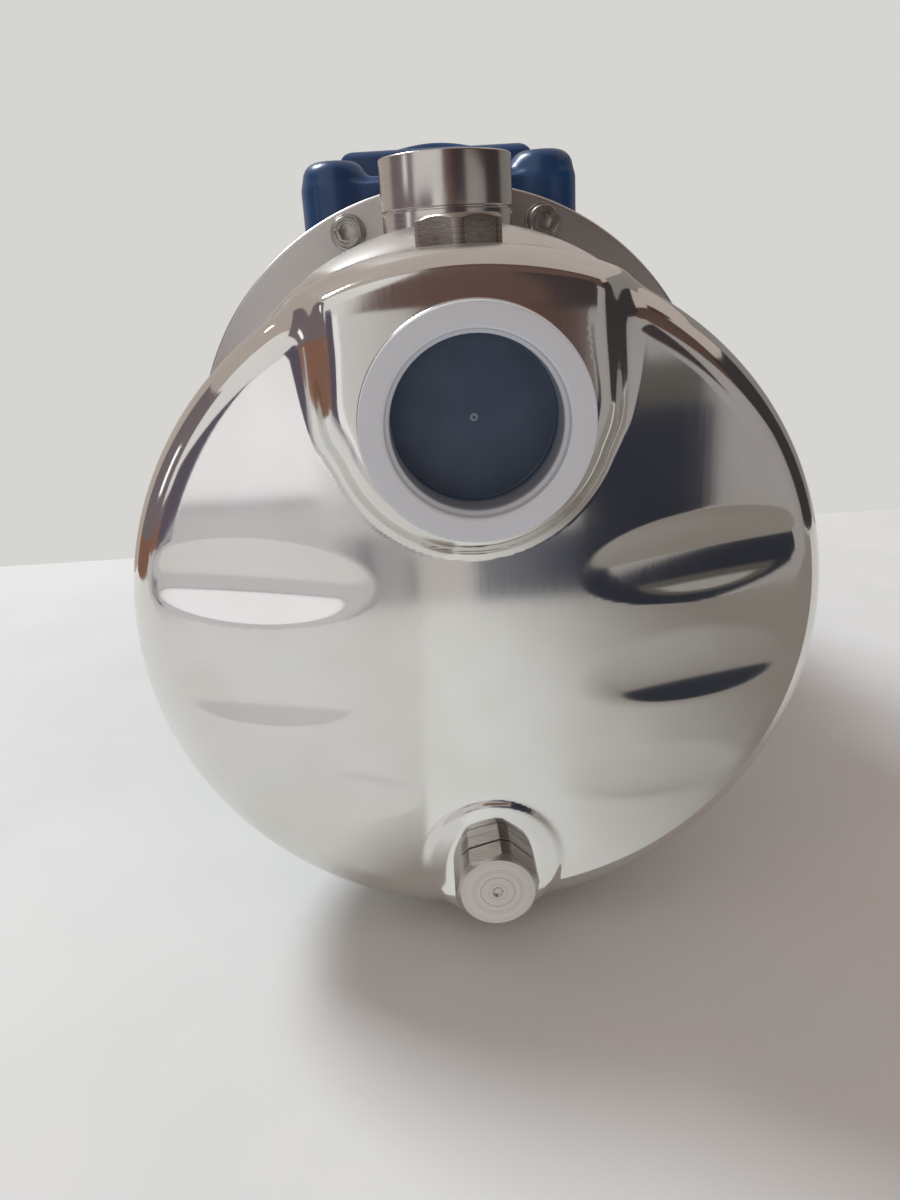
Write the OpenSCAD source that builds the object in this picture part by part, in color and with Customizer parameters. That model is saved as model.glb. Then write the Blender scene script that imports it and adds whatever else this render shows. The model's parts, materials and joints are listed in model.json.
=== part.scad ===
// Horizontal self-priming multistage pump: pressed casing, three stages and a close-coupled motor.
// The origin is the centre of the foot's bolt pattern on the base plane; the inlet faces -Y.

/* [Placing] */
// Height of the shaft axis above the base
shaft_h = 116; // [113:1:140]
// Distance from the casing flange's front face back to the foot's bolt centre
foot_back = 62; // [58:1:70]

/* [Casing] */
// Wall of the pressed casing
casing_wall = 1.5; // [1:0.1:2]
// Radius that the bulb gains over the neck
bulb_swell = 13; // [10:0.5:15]
// Drop of the bulb's centre below the shaft axis
bulb_drop = 21; // [18:0.5:23]
// Distance from the bulb's widest ring forward to the front face
belly_back = 36; // [30:1:42]
// Radius of the bulb where the front edge's rounding starts
front_r = 89.4; // [86:0.1:90.5]
// Rounding of the front edge
front_round = 9; // [7:0.5:12]
// Radius of the neck that enters the flange
neck_r = 78; // [76:0.5:78.4]
// Length of the neck's straight part
neck_len = 58; // [52:1:64]
// Length of the neck's cone in front of its straight part
neck_cone = 26; // [22:1:32]
// Radius that the neck's cone loses
neck_fall = 12; // [8:0.5:16]
// Height above the shaft of the flat land under the filler
land_h = 68; // [66:0.5:69]
// Half width of the filler's land
land_half = 23; // [20:0.5:26]

/* [Flutes] */
// Drop of the first pair of flutes below the shaft axis
flute_drop = 7.5; // [5:0.5:10]
// Step down from one pair to the next
flute_step = 31; // [29:0.5:33]
// Distance of the inner tips from the centre plane
flute_tip = 26; // [24:0.5:30]
// Radius of the rounded tool that presses a flute
flute_r = 18; // [15:0.5:21]
// Depth of the first pair
flute_depth = 3.8; // [3:0.1:4.6]
// Depth lost from one pair to the next
flute_fade = 0.8; // [0.5:0.1:1.2]

/* [Inlet] */
// Height of the inlet above the shaft axis
inlet_h = 32.3; // [31:0.1:33]
// Reach of the inlet's mouth beyond the front face
inlet_stand = 18.2; // [16:0.1:22]
// Outer radius of the inlet socket
inlet_r = 26; // [24.5:0.1:27]
// Minor radius of the inlet thread (G 1 1/4)
inlet_thread_r = 19.475; // [18:0.005:20.5]
// Length of the inlet socket
inlet_len = 24; // [22:0.5:27]
// Height of the raised pad above the front face
pad_rise = 6.5; // [5:0.5:9]
// Radius of the pad's top
pad_top_r = 30; // [28.5:0.5:31]
// Radius of the pad's foot
pad_foot_r = 40; // [37:0.5:42]
// Depth of the transit plug's recess
recess_depth = 14.4; // [10:0.2:16]
// Wall of the transit plug
plug_wall = 0.9; // [0.9:0.1:2]
// Thickness of the transit plug's collar
plug_collar = 2.2; // [1.5:0.1:3]

/* [Outlet] */
// Distance of the outlet's axis ahead of the flange
outlet_ahead = 24.4; // [23:0.1:26]
// Height of the outlet's mouth above the shaft axis
outlet_h = 97.6; // [96:0.1:104]
// Outer radius of the outlet socket
outlet_r = 20.4; // [19:0.1:21.5]
// Minor radius of the outlet thread (G 1)
outlet_thread_r = 15.145; // [14:0.005:16]
// Length of the outlet's machined part
outlet_len = 15; // [14:0.5:18]

/* [Service plugs] */
// Width across the flats of the plugs and their bosses
plug_af = 21; // [20.8:0.1:22]
// Radius of the round bar that each plug's head is cut from
bar_r = 11.4; // [11.1:0.1:12]
// Height of a plug's head
plug_head = 7; // [5:0.2:9]
// Minor radius of the plug thread (G 3/8)
plug_thread_r = 7.475; // [6.5:0.005:8]
// Length of a plug's thread
plug_shank = 10; // [8:0.5:12]
// Distance of the filler's axis behind the front face
filler_back = 24; // [20:0.5:25]
// Height of the filler's seal face above the land
filler_lip = 0.9; // [0.6:0.1:2]
// Distance of the drain's axis above the bulb's lowest line
drain_inset = 20.3; // [19.5:0.1:22]
// Reach of the drain's seal face beyond the front face
drain_stand = 5.7; // [5:0.1:8]
// Height of the raised seat round the drain boss above the front face
seat_rise = 1.2; // [0.6:0.1:3]
// Radius of the drain seat's top
seat_top_r = 15; // [14:0.5:17]
// Radius of the drain seat's foot
seat_foot_r = 20; // [18:0.5:21]
// Wire radius of the plug seals
plug_seal_r = 0.7; // [0.5:0.05:0.9]

/* [Flange joint] */
// Width of the casing flange outside the neck
flange_rim = 14.9; // [14.4:0.1:20]
// Thickness of the casing flange
flange_t = 5; // [4:0.5:7]
// Thickness of the back plate
backplate_t = 5; // [4:0.5:7]
// Number of flange screws
screw_count = 8; // [6:2:10]
// Nominal radius of a flange screw
screw_r = 3; // [2.5:0.1:3.5]
// Radius of a flange screw's head
screw_head_r = 5; // [4.5:0.1:5.5]
// Height of a flange screw's head
screw_head_t = 6; // [4:0.5:7]
// Radius of a flange washer
washer_r = 6; // [5.8:0.1:6.5]
// Thickness of a flange washer
washer_t = 1.2; // [0.8:0.1:2]

/* [Stages] */
// Distance from the flange to the last stage
stack_start = 12; // [11:0.5:14]
// Length of one stage
stage_pitch = 26; // [24:0.5:27]
// Outer radius of a stage casing
stage_r = 58; // [55:0.5:60]
// Wall of a stage casing
stage_wall = 1.5; // [1:0.1:2]
// Room between the first stage and the front face
inlet_room = 26; // [24:0.5:28]
// Depth of the inlet chamber
chamber_t = 14; // [12:0.5:16]
// Outer radius of an impeller
impeller_r = 45; // [40:0.5:46]
// Radius of an impeller's eye
eye_r = 17; // [15:0.5:18.5]
// Overall width of an impeller
impeller_w = 10; // [8:0.5:11]
// Thickness of a shroud and of a vane
vane_t = 1.5; // [1.2:0.1:2]
// Number of vanes in an impeller
vane_count = 6; // [5:1:7]

/* [Shaft and seal] */
// Radius of the shaft under the impellers
shaft_r = 7; // [6:0.1:7.4]
// Radius of the shaft under the seal
seal_shaft_r = 8; // [7.8:0.1:8.3]
// Radius of the shaft in its bearings
journal_r = 8.5; // [8.4:0.1:9]
// Radius of the shaft in the rotor core
rotor_seat_r = 11; // [10:0.2:11.4]
// Outer radius of a bearing
bearing_r = 20; // [19:0.5:21]
// Width of a bearing
bearing_w = 12; // [10:0.5:13]
// Radius of a bearing ball
ball_r = 3.375; // [3:0.025:3.5]
// Number of balls in a bearing
ball_count = 8; // [7:1:8]

/* [Motor] */
// Length of the bracket behind its flange
bracket_len = 26; // [24:1:30]
// Outer radius of the bracket's body
bracket_r = 70; // [69:0.5:71]
// Thickness of the bracket's flange
bracket_flange_t = 10; // [8:0.5:12]
// Length of the motor frame
frame_len = 124; // [118:1:136]
// Radius of the frame's bore
frame_bore_r = 55; // [54:0.5:56]
// Wall of the motor frame
frame_wall = 6; // [5:0.5:7]
// Outer radius of the cooling fins
fin_r = 72; // [70.5:0.5:73]
// Thickness of a cooling fin
fin_t = 2.2; // [1.6:0.1:3]
// Number of fin places round the frame
fin_count = 32; // [28:4:36]
// Length of the stator and rotor cores
core_len = 70; // [60:1:76]
// Radius of the stator's bore
stator_bore_r = 31; // [28:0.5:33]
// Air gap between rotor and stator
air_gap = 0.4; // [0.3:0.05:0.6]
// Thickness of the rear shield
shield_t = 14; // [12:0.5:16]
// Reach of the fan cover behind the rear shield
cover_reach = 48; // [42:1:56]
// Radius of the cooling fan
fan_r = 56; // [48:1:60]
// Width of the cooling fan
fan_w = 22; // [16:1:26]
// Wall of the fan cover
cover_wall = 1.5; // [1:0.1:2]

/* [Terminal box] */
// Width of the terminal box
box_w = 102; // [98:1:106]
// Length of the terminal box
box_len = 100; // [96:1:110]
// Distance of the box's front behind the flange's front face
box_back = 34; // [31:0.5:38]
// Height of the box's underside above the shaft axis
box_base_h = 74; // [73.5:0.5:76]
// Height of the corner lobes above the shaft axis
lobe_h = 106.2; // [104:0.1:108]
// Radius of a corner lobe
lobe_r = 12; // [11:0.5:13]
// Height of the raised part above the shaft axis
tier_h = 111.8; // [110:0.1:113]
// Height of the crown above the shaft axis
crown_h = 115.4; // [114.5:0.1:118]
// Wall of the terminal box
box_wall = 2.5; // [2:0.1:3]
// Thickness of the box gasket
gasket_t = 1; // [0.6:0.1:1.5]

/* [Foot] */
// Width of the foot's base
foot_w = 150; // [146:1:170]
// Length of the foot's base
foot_len = 76; // [72:1:90]
// Thickness of the foot's base
foot_t = 5; // [4:0.5:8]
// Distance between the bolt holes across the pump
foot_holes_x = 125; // [115:1:126]
// Distance between the bolt holes along the pump
foot_holes_y = 50; // [40:1:54]
// Radius of a foot hole
foot_hole_r = 4.75; // [4:0.25:5.5]
// Width of the foot's saddle
saddle_w = 84; // [76:1:90]

/* [Hidden] */
$fn = 96;
overrun = 1;
seat_gap = 0.1;
run_gap = 0.05;
rotor_gap = 0.3;

steel = [0.80, 0.80, 0.79];
satin = [0.66, 0.65, 0.63];
blue = [0.11, 0.20, 0.38];
plastic = [0.80, 0.82, 0.85];
dark = [0.12, 0.12, 0.13];
noryl = [0.20, 0.21, 0.22];
copper = [0.72, 0.42, 0.20];
core_grey = [0.45, 0.46, 0.48];
ceramic = [0.90, 0.88, 0.82];

// Places along the shaft, counted forward from the casing flange's front face
back_front = -flange_t;
bracket_front = back_front - backplate_t;
bracket_step = bracket_front - bracket_flange_t;
frame_front = bracket_step - bracket_len;
frame_rear = frame_front - frame_len;
shield_rear = frame_rear - shield_t;
cover_rear = shield_rear - cover_reach;
stages = 3;
stack_front = stack_start + stages * stage_pitch;
casing_depth = stack_front + inlet_room;
belly_depth = casing_depth - belly_back;
filler_ahead = casing_depth - filler_back;
inlet_reach = casing_depth + inlet_stand;
pad_reach = casing_depth + pad_rise;
seat_reach = casing_depth + seat_rise;
drain_reach = casing_depth + drain_stand;

// The bulb below the shaft, with the drain at its lowest line
bulb_r = neck_r + bulb_swell;
drain_drop = bulb_drop + bulb_r - drain_inset;

// The clamp flange and its circle of screws
flange_r = neck_r + seat_gap + flange_rim;
screw_circle_r = neck_r + seat_gap + flange_rim / 2;

// The coordinates of everything on the shaft: x across, y up from the shaft, z forward
module on_shaft() {
    translate([0, -foot_back, shaft_h])
        rotate([90, 0, 0])
            children();
}

module disc(r, low, high) {
    translate([0, 0, low])
        cylinder(r = r, h = high - low);
}

module ring(r_out, r_in, low, high) {
    difference() {
        disc(r_out, low, high);
        disc(r_in, low - overrun, high + overrun);
    }
}

// A rounded bar between two points
module capsule(a, b, r) {
    d = b - a;
    len = norm(d);
    translate(a)
        rotate([0, acos(d[2] / len), atan2(d[1], d[0])])
            rotate_extrude()
                intersection() {
                    union() {
                        circle(r = r);
                        translate([-r, 0])
                            square([2 * r, len]);
                        translate([0, len])
                            circle(r = r);
                    }
                    translate([0, -r])
                        square([r, len + 2 * r]);
                }
}

module hexagon(af, low, high) {
    translate([0, 0, low])
        linear_extrude(high - low)
            circle(d = af / cos(30), $fn = 6);
}

// Casing: the outer form, and the same form drawn in by the wall
flute_rows = 3;
flute_end_share = 0.7;
belly_front = casing_depth - front_round;
valley_r = 13;
valley_x = 43;
valley_low_h = 10;
valley_high_h = 62;
valley_low_depth = 2.5;
valley_high_depth = 11;
crown_half = 31;
crown_round = 12;
crown_top_h = 66;
pad_round = 4;
crown_step = 1.5;
crown_bend = 15;
crown_over = 0.5;
plug_clear = 1;
land_back = filler_ahead - bar_r - plug_clear;

module bulb(inset) {
    rear_r = neck_r - bulb_drop;
    round_r = front_round - inset;
    translate([0, -bulb_drop, 0])
        rotate_extrude() {
            polygon([
                [0, -inset],
                [rear_r - inset, -inset],
                [bulb_r - inset, belly_depth],
                [front_r - inset, belly_front],
                [front_r - front_round, casing_depth - inset],
                [0, casing_depth - inset]
            ]);
            translate([front_r - front_round, belly_front])
                intersection() {
                    circle(r = round_r);
                    square(round_r);
                }
        }
}

module neck(inset) {
    low = inset > 0 ? back_front - overrun : back_front + seat_gap;
    rotate_extrude()
        polygon([
            [0, low],
            [neck_r - inset, low],
            [neck_r - inset, neck_len],
            [neck_r - neck_fall - inset, neck_len + neck_cone],
            [0, neck_len + neck_cone]
        ]);
}

module land_cut(inset) {
    translate([-land_half - inset, land_h - inset, land_back - inset])
        cube([2 * (land_half + inset), bulb_r, casing_depth]);
}

module valleys(inset) {
    for (side = [-1, 1])
        capsule(
            [side * valley_x, valley_low_h, casing_depth - valley_low_depth + valley_r],
            [side * valley_x, valley_high_h, casing_depth - valley_high_depth + valley_r],
            valley_r + inset
        );
}

module flutes(inset) {
    for (side = [-1, 1])
        for (row = [0 : flute_rows - 1]) {
            h = -flute_drop - row * flute_step;
            depth = flute_depth - row * flute_fade;
            half_w = sqrt(pow(flute_r, 2) - pow(flute_r - depth, 2));
            edge_x = sqrt(pow(front_r, 2) - pow(h + bulb_drop, 2));
            capsule(
                [side * (flute_tip + half_w), h, casing_depth + flute_r - depth],
                [side * (edge_x - flute_end_share * flute_r), h, casing_depth + flute_r - depth],
                flute_r + inset
            );
        }
}

module pad(inset) {
    translate([0, inlet_h, 0])
        rotate_extrude() {
            polygon([
                [0, 0],
                [pad_foot_r - inset, 0],
                [pad_foot_r - inset, casing_depth - pad_round],
                [pad_top_r - inset, pad_reach - pad_round],
                [pad_top_r - pad_round, pad_reach - inset],
                [0, pad_reach - inset]
            ]);
            translate([pad_top_r - pad_round, pad_reach - pad_round])
                circle(r = pad_round - inset);
        }
}

module crown_outline(inset) {
    straight_h = crown_top_h - crown_round;
    translate([-crown_half + inset, inlet_h])
        square([2 * (crown_half - inset), straight_h - inlet_h]);
    translate([-crown_half + crown_round, straight_h])
        square([2 * (crown_half - crown_round), crown_round - inset]);
    for (side = [-1, 1])
        translate([side * (crown_half - crown_round), straight_h])
            circle(r = crown_round - inset);
}

// The pad's top bends back into the land with a wide round
module crown_cap(inset) {
    cap_r = land_h + bulb_drop;
    cap_f = pad_reach + crown_over;
    translate([0, -bulb_drop, 0])
        rotate_extrude() {
            polygon([
                [0, belly_depth],
                [cap_r - inset, belly_depth],
                [cap_r - inset, cap_f - crown_bend],
                [cap_r - crown_bend, cap_f - inset],
                [0, cap_f - inset]
            ]);
            translate([cap_r - crown_bend, cap_f - crown_bend])
                intersection() {
                    circle(r = crown_bend - inset);
                    square(crown_bend - inset);
                }
        }
}

module drain_seat(inset) {
    translate([0, -drain_drop, 0])
        rotate_extrude()
            polygon([
                [0, belly_depth],
                [seat_foot_r - inset, belly_depth],
                [seat_foot_r - inset, belly_front],
                [seat_top_r - inset, seat_reach - inset],
                [0, seat_reach - inset]
            ]);
}

module casing_form(inset) {
    difference() {
        union() {
            bulb(inset);
            neck(inset);
        }
        land_cut(inset);
        valleys(inset);
        flutes(inset);
    }
    intersection() {
        union() {
            pad(inset);
            translate([0, 0, belly_depth])
                linear_extrude(pad_reach - crown_step - inset - belly_depth)
                    crown_outline(inset);
        }
        crown_cap(inset);
    }
    intersection() {
        drain_seat(inset);
        translate([0, -bulb_drop, belly_depth])
            cylinder(r = bulb_r - inset, h = casing_depth);
    }
}

module casing_shell() {
    color(steel)
        on_shaft()
            difference() {
                casing_form(0);
                casing_form(casing_wall);
                translate([0, inlet_h, 0])
                    disc(inlet_r + seat_gap, casing_depth - front_round, inlet_reach);
                translate([0, -drain_drop, 0])
                    disc(boss_root_r + seat_gap, belly_depth, drain_reach);
                translate([0, 0, outlet_ahead])
                    rotate([-90, 0, 0])
                        disc(outlet_neck_r + seat_gap, inlet_h, outlet_h);
                translate([0, 0, filler_ahead])
                    rotate([-90, 0, 0])
                        disc(boss_root_r + seat_gap, inlet_h, outlet_h);
            }
}

// Casing flange, its screws and seal
casing_seal_r = 1.5;
casing_seal_margin = 0.8;
casing_seal_circle = neck_r + seat_gap + casing_seal_margin + casing_seal_r;
seal_bite = 0.4;
flange_edge_round = 1.2;
screw_hole_gap = 0.4;
screw_grip = 9;
hex_key_r = 2.9;
hex_key_depth = 3.2;

module screw_places() {
    for (i = [0 : screw_count - 1])
        rotate(180 / screw_count + i * 360 / screw_count)
            translate([0, screw_circle_r, 0])
                children();
}

module casing_flange() {
    color(satin)
        on_shaft()
            difference() {
                disc(flange_r, back_front, 0);
                disc(neck_r + seat_gap, back_front - overrun, overrun);
                screw_places()
                    disc(screw_r + screw_hole_gap, back_front - overrun, overrun);
                rotate_extrude()
                    translate([flange_r, 0])
                        rotate(45)
                            square(2 * flange_edge_round / sqrt(2), center = true);
            }
}

module casing_washers() {
    color(satin)
        on_shaft()
            screw_places()
                ring(washer_r, screw_r + screw_hole_gap, 0, washer_t);
}

module casing_screws() {
    color(satin)
        on_shaft()
            screw_places()
                difference() {
                    union() {
                        disc(screw_r, bracket_front - screw_grip, washer_t + overrun);
                        disc(screw_head_r, washer_t, washer_t + screw_head_t);
                    }
                    translate([0, 0, washer_t + screw_head_t - hex_key_depth])
                        cylinder(r = hex_key_r, h = hex_key_depth + overrun, $fn = 6);
                }
}

module casing_seal() {
    color(dark)
        on_shaft()
            intersection() {
                translate([0, 0, back_front - casing_seal_r + seal_bite])
                    rotate_extrude()
                        translate([casing_seal_circle, 0])
                            circle(r = casing_seal_r);
                disc(flange_r, bracket_front, back_front);
            }
}

// Back plate, which closes the casing and carries the seal's seat
cup_r = 16;
cup_t = 7;
back_hub_r = 24;
back_hub_reach = 0.6;
cup_wall = 2;
back_hole_r = 10.5;
stack_spigot = 3;
window_count = 6;
window_w = 24;

module back_plate() {
    spigot_r = stage_r - stage_wall - seat_gap;
    color(satin)
        on_shaft()
            difference() {
                union() {
                    disc(flange_r - flange_edge_round, bracket_front, back_front);
                    disc(back_hub_r, bracket_front, back_hub_reach);
                    ring(stage_r, spigot_r - 2 * stage_wall, bracket_front, stack_start - seat_gap);
                    ring(spigot_r, spigot_r - 2 * stage_wall, bracket_front, stack_start + stack_spigot);
                }
                disc(cup_r + seat_gap, back_hub_reach - cup_t, back_hub_reach + overrun);
                disc(back_hole_r, bracket_front - overrun, back_hub_reach);
                for (i = [0 : window_count - 1])
                    rotate(i * 360 / window_count)
                        translate([-window_w / 2, stage_r / 2, back_front + stage_wall])
                            cube([window_w, stage_r, stack_start - back_front - 3 * stage_wall]);
                screw_places()
                    disc(screw_r + screw_hole_gap, bracket_front - overrun, back_front + overrun);
                translate([0, 0, back_front])
                    rotate_extrude()
                        translate([casing_seal_circle, -casing_seal_r + seal_bite])
                            circle(r = casing_seal_r + seat_gap);
            }
}

// Inlet socket and the plug that keeps it clean in transit
socket_chamfer = 1;
plug_floor = 1.6;
pip_r = 0.7;
pip_t = 0.5;
collar_step = 0.3;

module suction_socket() {
    color(satin)
        on_shaft()
            translate([0, inlet_h, 0])
                difference() {
                    rotate_extrude()
                        polygon([
                            [inlet_thread_r, inlet_reach - inlet_len],
                            [inlet_r, inlet_reach - inlet_len],
                            [inlet_r, inlet_reach - socket_chamfer],
                            [inlet_r - socket_chamfer, inlet_reach],
                            [inlet_thread_r, inlet_reach]
                        ]);
                }
}

module transit_plug() {
    out_r = inlet_thread_r - run_gap;
    in_r = out_r - plug_wall;
    floor_f = inlet_reach + plug_collar - recess_depth;
    color(plastic)
        on_shaft()
            translate([0, inlet_h, 0]) {
                rotate_extrude()
                    polygon([
                        [0, floor_f - plug_floor],
                        [out_r, floor_f - plug_floor],
                        [out_r, inlet_reach + run_gap],
                        [inlet_r - collar_step, inlet_reach + run_gap],
                        [inlet_r - collar_step, inlet_reach + plug_collar - plug_wall / 2],
                        [inlet_r - collar_step - plug_wall / 2, inlet_reach + plug_collar],
                        [in_r + plug_wall / 2, inlet_reach + plug_collar],
                        [in_r, inlet_reach + plug_collar - plug_wall / 2],
                        [in_r, floor_f],
                        [0, floor_f]
                    ]);
                disc(pip_r, floor_f - plug_floor / 2, floor_f + pip_t);
            }
}

// Outlet socket, standing on a drawn neck
outlet_step = 0.2;
outlet_neck_r = outlet_r - outlet_step;
outlet_root = 8;
weld_groove = 0.8;

module discharge_socket() {
    low_h = neck_r - outlet_root;
    step_h = outlet_h - outlet_len;
    color(satin)
        on_shaft()
            translate([0, 0, outlet_ahead])
                rotate([-90, 0, 0])
                    rotate_extrude()
                        polygon([
                            [outlet_thread_r, low_h],
                            [outlet_neck_r, low_h],
                            [outlet_neck_r, step_h - weld_groove],
                            [outlet_neck_r - weld_groove, step_h - weld_groove],
                            [outlet_neck_r - weld_groove, step_h],
                            [outlet_r, step_h],
                            [outlet_r, outlet_h - socket_chamfer],
                            [outlet_r - socket_chamfer, outlet_h],
                            [outlet_thread_r + socket_chamfer, outlet_h],
                            [outlet_thread_r, outlet_h - socket_chamfer]
                        ]);
}

// Filler and drain: a hex boss, a plug and a ring seal each
boss_root_r = 10.2;
boss_depth = 9;
head_chamfer = 1.2;
seal_line = 0.8;
dimple_r = 1.6;
dimple_depth = 0.6;

module boss(hex_len) {
    difference() {
        union() {
            disc(boss_root_r, -boss_depth - hex_len, 0);
            intersection() {
                hexagon(plug_af, -hex_len, 0);
                disc(bar_r, -hex_len, 0);
            }
        }
        disc(plug_thread_r, -boss_depth - hex_len - overrun, overrun);
    }
}

module plug() {
    difference() {
        union() {
            disc(plug_thread_r - run_gap, -plug_shank, seal_line);
            intersection() {
                hexagon(plug_af, seal_line, seal_line + plug_head);
                rotate_extrude()
                    polygon([
                        [0, seal_line],
                        [bar_r, seal_line],
                        [bar_r, seal_line + plug_head - head_chamfer],
                        [plug_af / 2 - head_chamfer / 2, seal_line + plug_head],
                        [0, seal_line + plug_head]
                    ]);
            }
        }
        translate([0, 0, seal_line + plug_head + dimple_r - dimple_depth])
            sphere(r = dimple_r);
    }
}

module plug_seal() {
    ring(plug_af / 2 - plug_seal_r, plug_thread_r, run_gap, seal_line - run_gap);
}

module at_filler() {
    on_shaft()
        translate([0, land_h + filler_lip, filler_ahead])
            rotate([-90, 0, 0])
                rotate(180 / 6)
                    children();
}

module at_drain() {
    on_shaft()
        translate([0, -drain_drop, drain_reach])
            rotate(180 / 12)
                children();
}

module filler_boss() {
    color(satin)
        at_filler()
            boss(filler_lip);
}

module filler_plug() {
    color(satin)
        at_filler()
            plug();
}

module filler_seal() {
    color(dark)
        at_filler()
            plug_seal();
}

module drain_boss() {
    color(satin)
        at_drain()
            boss(drain_reach - seat_reach);
}

module drain_plug() {
    color(satin)
        at_drain()
            plug();
}

module drain_seal() {
    color(dark)
        at_drain()
            plug_seal();
}

// Inlet chamber, which leads the water from the high inlet down to the first eye
module inlet_chamber() {
    front = stack_front + chamber_t;
    tube_r = inlet_thread_r + 2 * stage_wall;
    tube_front = inlet_reach - inlet_len - seat_gap;
    color(steel)
        on_shaft()
            difference() {
                union() {
                    disc(stage_r, stack_front + seat_gap, front);
                    translate([0, inlet_h, 0])
                        disc(tube_r, stack_front + stage_wall, tube_front);
                }
                disc(stage_r - stage_wall, stack_front + 2 * stage_wall, front - stage_wall);
                disc(wear_r + seat_gap, stack_front - overrun, stack_front + 3 * stage_wall);
                translate([0, inlet_h, 0])
                    disc(tube_r - stage_wall, stack_front + 2 * stage_wall, tube_front + overrun);
            }
}

// Stages: casing, diffuser, impeller and wear ring
wear_r = 22;
wear_w = 3;
eye_collar = 2.2;
shroud_gap = 3;
hub_r = 11;
hub_back = 2;
diffuser_t = 2;
diffuser_gap = 0.3;
spacer_r = 10.3;
return_gap = 1;
vane_inset = 0.3;
vane_bite = 0.6;
guide_count = 8;
return_count = 6;
vane_arc_share = 0.62;
vane_centre_share = 0.45;

module curved_vanes(count, r_in, r_out, t, low, high) {
    for (i = [0 : count - 1])
        rotate(i * 360 / count)
            translate([0, 0, low])
                linear_extrude(high - low)
                    intersection() {
                        difference() {
                            circle(r = r_out);
                            circle(r = r_in);
                        }
                        translate([r_out * vane_centre_share, 0])
                            difference() {
                                circle(r = r_out * vane_arc_share);
                                circle(r = r_out * vane_arc_share - t);
                            }
                        translate([-r_out, 0])
                            square([2 * r_out, r_out]);
                    }
}

module at_stage(k) {
    on_shaft()
        translate([0, 0, stack_front - k * stage_pitch])
            children();
}

module stage_case(k) {
    color(steel)
        at_stage(k)
            difference() {
                disc(stage_r, -stage_pitch + seat_gap, 0);
                disc(stage_r - stage_wall, -stage_pitch - overrun, -stage_wall);
                disc(wear_r + seat_gap, -stage_pitch, overrun);
            }
}

module diffuser(k) {
    front = -shroud_gap - impeller_w - hub_back - diffuser_gap;
    rim_r = stage_r - stage_wall - seat_gap;
    tail = k == stages - 1 ? stack_spigot + return_gap : return_gap;
    color(noryl)
        at_stage(k) {
            ring(rim_r - 2 * vane_t, spacer_r + rotor_gap, front - diffuser_t, front);
            curved_vanes(
                guide_count, impeller_r + vane_t, rim_r - vane_inset, vane_t,
                front - diffuser_t + vane_bite, -stage_wall - seat_gap
            );
            curved_vanes(
                return_count, wear_r + return_gap, rim_r - 3 * vane_t, vane_t,
                -stage_pitch + tail, front - vane_bite
            );
        }
}

module impeller(k) {
    front = -shroud_gap;
    rear = front - impeller_w;
    color(noryl)
        at_stage(k)
            difference() {
                union() {
                    disc(impeller_r, rear, rear + vane_t);
                    ring(impeller_r, eye_r, front - vane_t, front);
                    ring(eye_r + vane_t, eye_r, front - vane_t, front + eye_collar);
                    curved_vanes(
                        vane_count, hub_r - vane_t, impeller_r - vane_inset, vane_t,
                        rear + vane_t / 2, front - vane_t / 2
                    );
                    disc(hub_r, rear - hub_back, front);
                }
                disc(shaft_r + run_gap, rear - hub_back - overrun, front + overrun);
            }
}

module stage_case_1() { stage_case(0); }
module stage_case_2() { stage_case(1); }
module stage_case_3() { stage_case(2); }
module diffuser_1() { diffuser(0); }
module diffuser_2() { diffuser(1); }
module diffuser_3() { diffuser(2); }
module impeller_1() { impeller(0); }
module impeller_2() { impeller(1); }
module impeller_3() { impeller(2); }

module wear_rings() {
    color(plastic)
        for (k = [0 : stages - 1])
            at_stage(k)
                ring(wear_r, eye_r + vane_t + rotor_gap / 2, -stage_wall, wear_w - stage_wall);
}

module impeller_spacers() {
    color(satin)
        for (k = [0 : stages - 2])
            at_stage(k)
                ring(
                    spacer_r, shaft_r + run_gap,
                    -stage_pitch - shroud_gap + run_gap,
                    -shroud_gap - impeller_w - hub_back - run_gap
                );
}

// Shaft and its nut
nut_af = 17;
nut_t = 7;
stud_r = 5;
stud_len = 8;

module impeller_nut() {
    low = stack_front - shroud_gap + run_gap;
    color(satin)
        on_shaft()
            difference() {
                hexagon(nut_af, low, low + nut_t);
                disc(stud_r + run_gap, low - overrun, low + nut_t + overrun);
            }
}

shoulder_f = stack_front - (stages - 1) * stage_pitch - shroud_gap - impeller_w - hub_back - run_gap;
front_bearing_f = frame_front;
bearing_inset = 2;
rear_bearing_f = frame_rear - bearing_w + bearing_inset;
fan_seat_r = 7;
fan_gap = 4;
shaft_fan_end = shield_rear - fan_gap - fan_w;

module shaft() {
    top = stack_front - shroud_gap;
    color(satin)
        on_shaft()
            rotate_extrude()
                polygon([
                    [0, shaft_fan_end],
                    [fan_seat_r, shaft_fan_end],
                    [fan_seat_r, rear_bearing_f - overrun],
                    [journal_r, rear_bearing_f - overrun],
                    [journal_r, rear_bearing_f + bearing_w],
                    [rotor_seat_r, rear_bearing_f + bearing_w],
                    [rotor_seat_r, front_bearing_f],
                    [journal_r, front_bearing_f],
                    [journal_r, front_bearing_f + bearing_w + overrun],
                    [seal_shaft_r, front_bearing_f + bearing_w + overrun],
                    [seal_shaft_r, shoulder_f],
                    [shaft_r, shoulder_f],
                    [shaft_r, top],
                    [stud_r, top],
                    [stud_r, top + stud_len],
                    [0, top + stud_len]
                ]);
}

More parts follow.
